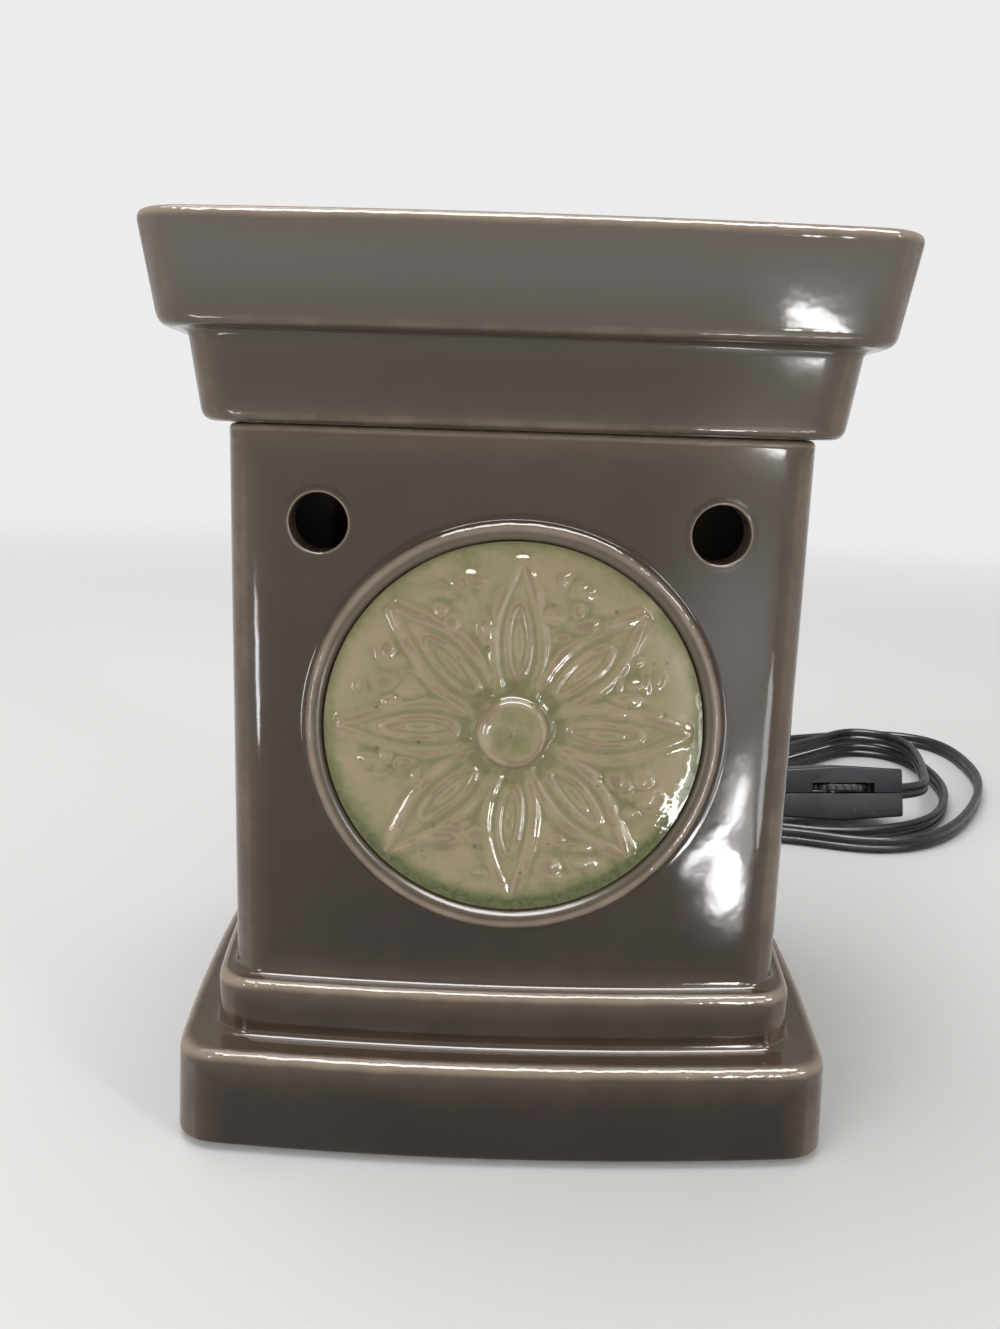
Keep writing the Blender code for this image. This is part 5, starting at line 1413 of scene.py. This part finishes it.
class WARMER_OT_plug(bpy.types.Operator):
    """Moulded plug with its blades, and the strain relief at the body."""

    bl_idname = "warmer.plug"
    bl_label = "Plug and strain relief"

    def execute(self, context):
        self.body()
        for node in ("plug_blade_left", "plug_blade_right"):
            self.blade(node)
        self.relief()
        return {"FINISHED"}

    def body(self):
        """Body that swells from its neck, with finger ribs on both faces."""
        deselect()
        bpy.ops.mesh.primitive_plane_add(size=1.0, location=(0, 0, 0), rotation=(math.pi / 2, 0, 0))
        plug = bpy.context.active_object
        plug.name = "plug_moulding"
        settle(plug)
        edit(plug)
        (at, wide, tall), *sections = [(y * MM, w * MM, h * MM) for y, w, h in (
            (0.0, 9.0, 7.6), (0.8, 10.0, 8.6), (5.0, 10.2, 8.8), (7.5, 13.0, 10.2), (10.5, 19.4, 12.6),
            (12.6, 22.4, 13.6), (15.0, 23.0, 14.0), (20.0, 23.0, 14.0), (24.2, 23.0, 14.0),
            (25.0, 21.8, 12.8))]
        bpy.ops.transform.resize(value=(wide, 1, tall), center_override=(0, 0, 0))
        for y, next_wide, next_tall in sections:
            bpy.ops.mesh.extrude_region_move(TRANSFORM_OT_translate={"value": (0, at - y, 0)})
            swell = (next_wide / wide, 1, next_tall / tall)
            bpy.ops.transform.resize(value=swell, center_override=(0, -y, 0))
            at, wide, tall = y, next_wide, next_tall
        select_rims()
        bpy.ops.mesh.fill_holes(sides=0)
        bevel_edges(plug, lambda edge: abs(edge.verts[0].co.y - edge.verts[1].co.y) > 0.1 * MM, 2.4 * MM, 5)
        close_edit(outward=True)
        for i in range(4):
            for side in (-1, 1):
                spot = (0, -(15.6 + 2.0 * i) * MM, side * 7.1 * MM)
                cut(plug, 0.62 * MM, 14 * MM, spot, (0, math.pi / 2, 0), 20)
        plug.data.transform(Matrix.Translation(PLUG_END))
        smooth(plug, 32)
        carried(plug, "warmer", "cord", "cord_black", "plug_body")

    def blade(self, node):
        """Flat brass blade with a round hole and a chamfered tip."""
        low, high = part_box(node)
        middle, size = (low + high) / 2, high - low
        blade = open_block(node.replace("plug_blade", "plug_prong"), size)
        bevel_edges(blade, lambda edge: all(v.co.y < 0 for v in edge.verts), 0.55 * MM, 3)
        close_edit(outward=True)
        cut(blade, 1.6 * MM, 6 * MM, (0, 3.6 * MM - size.y / 2, 0), (0, math.pi / 2, 0), 32)
        blade.data.transform(Matrix.Translation(middle))
        smooth(blade, 32)
        carried(blade, "warmer", "brass", "brass", node)

    def relief(self):
        """Tapered sleeve with ribs that lets the lead bend easily."""
        low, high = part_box("strain_relief")
        flange, tip = 5.6 * MM, high.y - low.y
        neck = tip - 21.7 * MM
        steps = [(1.8 * MM, 0.0), (3.5 * MM, 0.0), (3.5 * MM, neck), (flange, neck),
                 (flange, neck + 1.1 * MM), (flange - 0.4 * MM, neck + 1.6 * MM)]
        span = tip - neck - 3.0 * MM
        for i in range(SLEEVE_RIBS):
            share = i / SLEEVE_RIBS
            y = neck + 2.2 * MM + span * share
            r = 4.8 * MM - 1.2 * MM * share
            steps += [(r, y), (r - 0.05 * MM, y + 1.7 * MM), (r - 0.65 * MM, y + 2.0 * MM),
                      (r - 0.7 * MM, y + 2.8 * MM)]
        steps += [(3.6 * MM, tip - 0.8 * MM), (3.4 * MM, tip - 0.2 * MM), (3.0 * MM, tip), (1.8 * MM, tip)]
        sleeve = raised("strain_sleeve", steps, sides=48)
        place = Matrix.Translation((0, low.y, CORD_EXIT.z)) @ Matrix.Rotation(-math.pi / 2, 4, "X")
        sleeve.data.transform(place)
        smooth(sleeve, 30)
        carried(sleeve, "warmer", "rubber", "rubber", "strain_relief")


class WARMER_OT_underside(bpy.types.Operator):
    """Felt-faced board and rubber feet."""

    bl_idname = "warmer.underside"
    bl_label = "Underside"

    def execute(self, context):
        dress("felt", "base_cover")
        for node in ("foot_front_left", "foot_front_right", "foot_back_left", "foot_back_right"):
            low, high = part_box(node)
            radius, tall = (high.x - low.x) / 2, high.z - low.z
            steps = [(radius * 0.3, 0.0), (radius - 0.35 * MM, 0.0), (radius - 0.1 * MM, 0.12 * MM),
                     (radius, 0.35 * MM), (radius, tall), (radius * 0.3, tall)]
            foot = smooth(raised(node.replace("foot", "pad"), steps, sides=48))
            foot.data.transform(Matrix.Translation(((low.x + high.x) / 2, (low.y + high.y) / 2, low.z)))
            carried(foot, "warmer", "rubber", "rubber", node)
        return {"FINISHED"}


class WARMER_OT_finishes(bpy.types.Operator):
    """Glazes, plastics, metals and glass."""

    bl_idname = "warmer.finishes"
    bl_label = "Finishes"

    def execute(self, context):
        build_finishes(context.scene.warmer_glaze)
        return {"FINISHED"}


class VIEW3D_PT_warmer(bpy.types.Panel):
    """Lists the pieces and their settings."""

    bl_label = "Wax Warmer"
    bl_space_type = "VIEW_3D"
    bl_region_type = "UI"
    bl_category = "Warmer"

    def draw(self, context):
        column = self.layout.column()
        for settings in ("warmer_sizes", "warmer_glaze", "warmer_studio"):
            group = getattr(context.scene, settings)
            for name in group.__annotations__:
                column.prop(group, name)
        for operator in OPERATORS:
            column.operator(operator.bl_idname)


OPERATORS = (
    WARMER_OT_finishes, WARMER_OT_stage, WARMER_OT_lead, WARMER_OT_body, WARMER_OT_dish, WARMER_OT_rosette,
    WARMER_OT_lamp, WARMER_OT_switch, WARMER_OT_plug, WARMER_OT_underside,
)
CLASSES = (GlazeColours, WarmerSizes, StudioSettings, *OPERATORS, VIEW3D_PT_warmer)


def register():
    """Register the classes and their settings."""
    for item in CLASSES:
        bpy.utils.register_class(item)
    bpy.types.Scene.warmer_glaze = PointerProperty(type=GlazeColours)
    bpy.types.Scene.warmer_sizes = PointerProperty(type=WarmerSizes)
    bpy.types.Scene.warmer_studio = PointerProperty(type=StudioSettings)


def unregister():
    """Take the classes and settings out again."""
    for name in ("warmer_glaze", "warmer_sizes", "warmer_studio"):
        delattr(bpy.types.Scene, name)
    for item in reversed(CLASSES):
        bpy.utils.unregister_class(item)


def main():
    register()
    for operator in OPERATORS:
        group, name = operator.bl_idname.split(".")
        getattr(getattr(bpy.ops, group), name)()


if __name__ == "__main__":
    main()
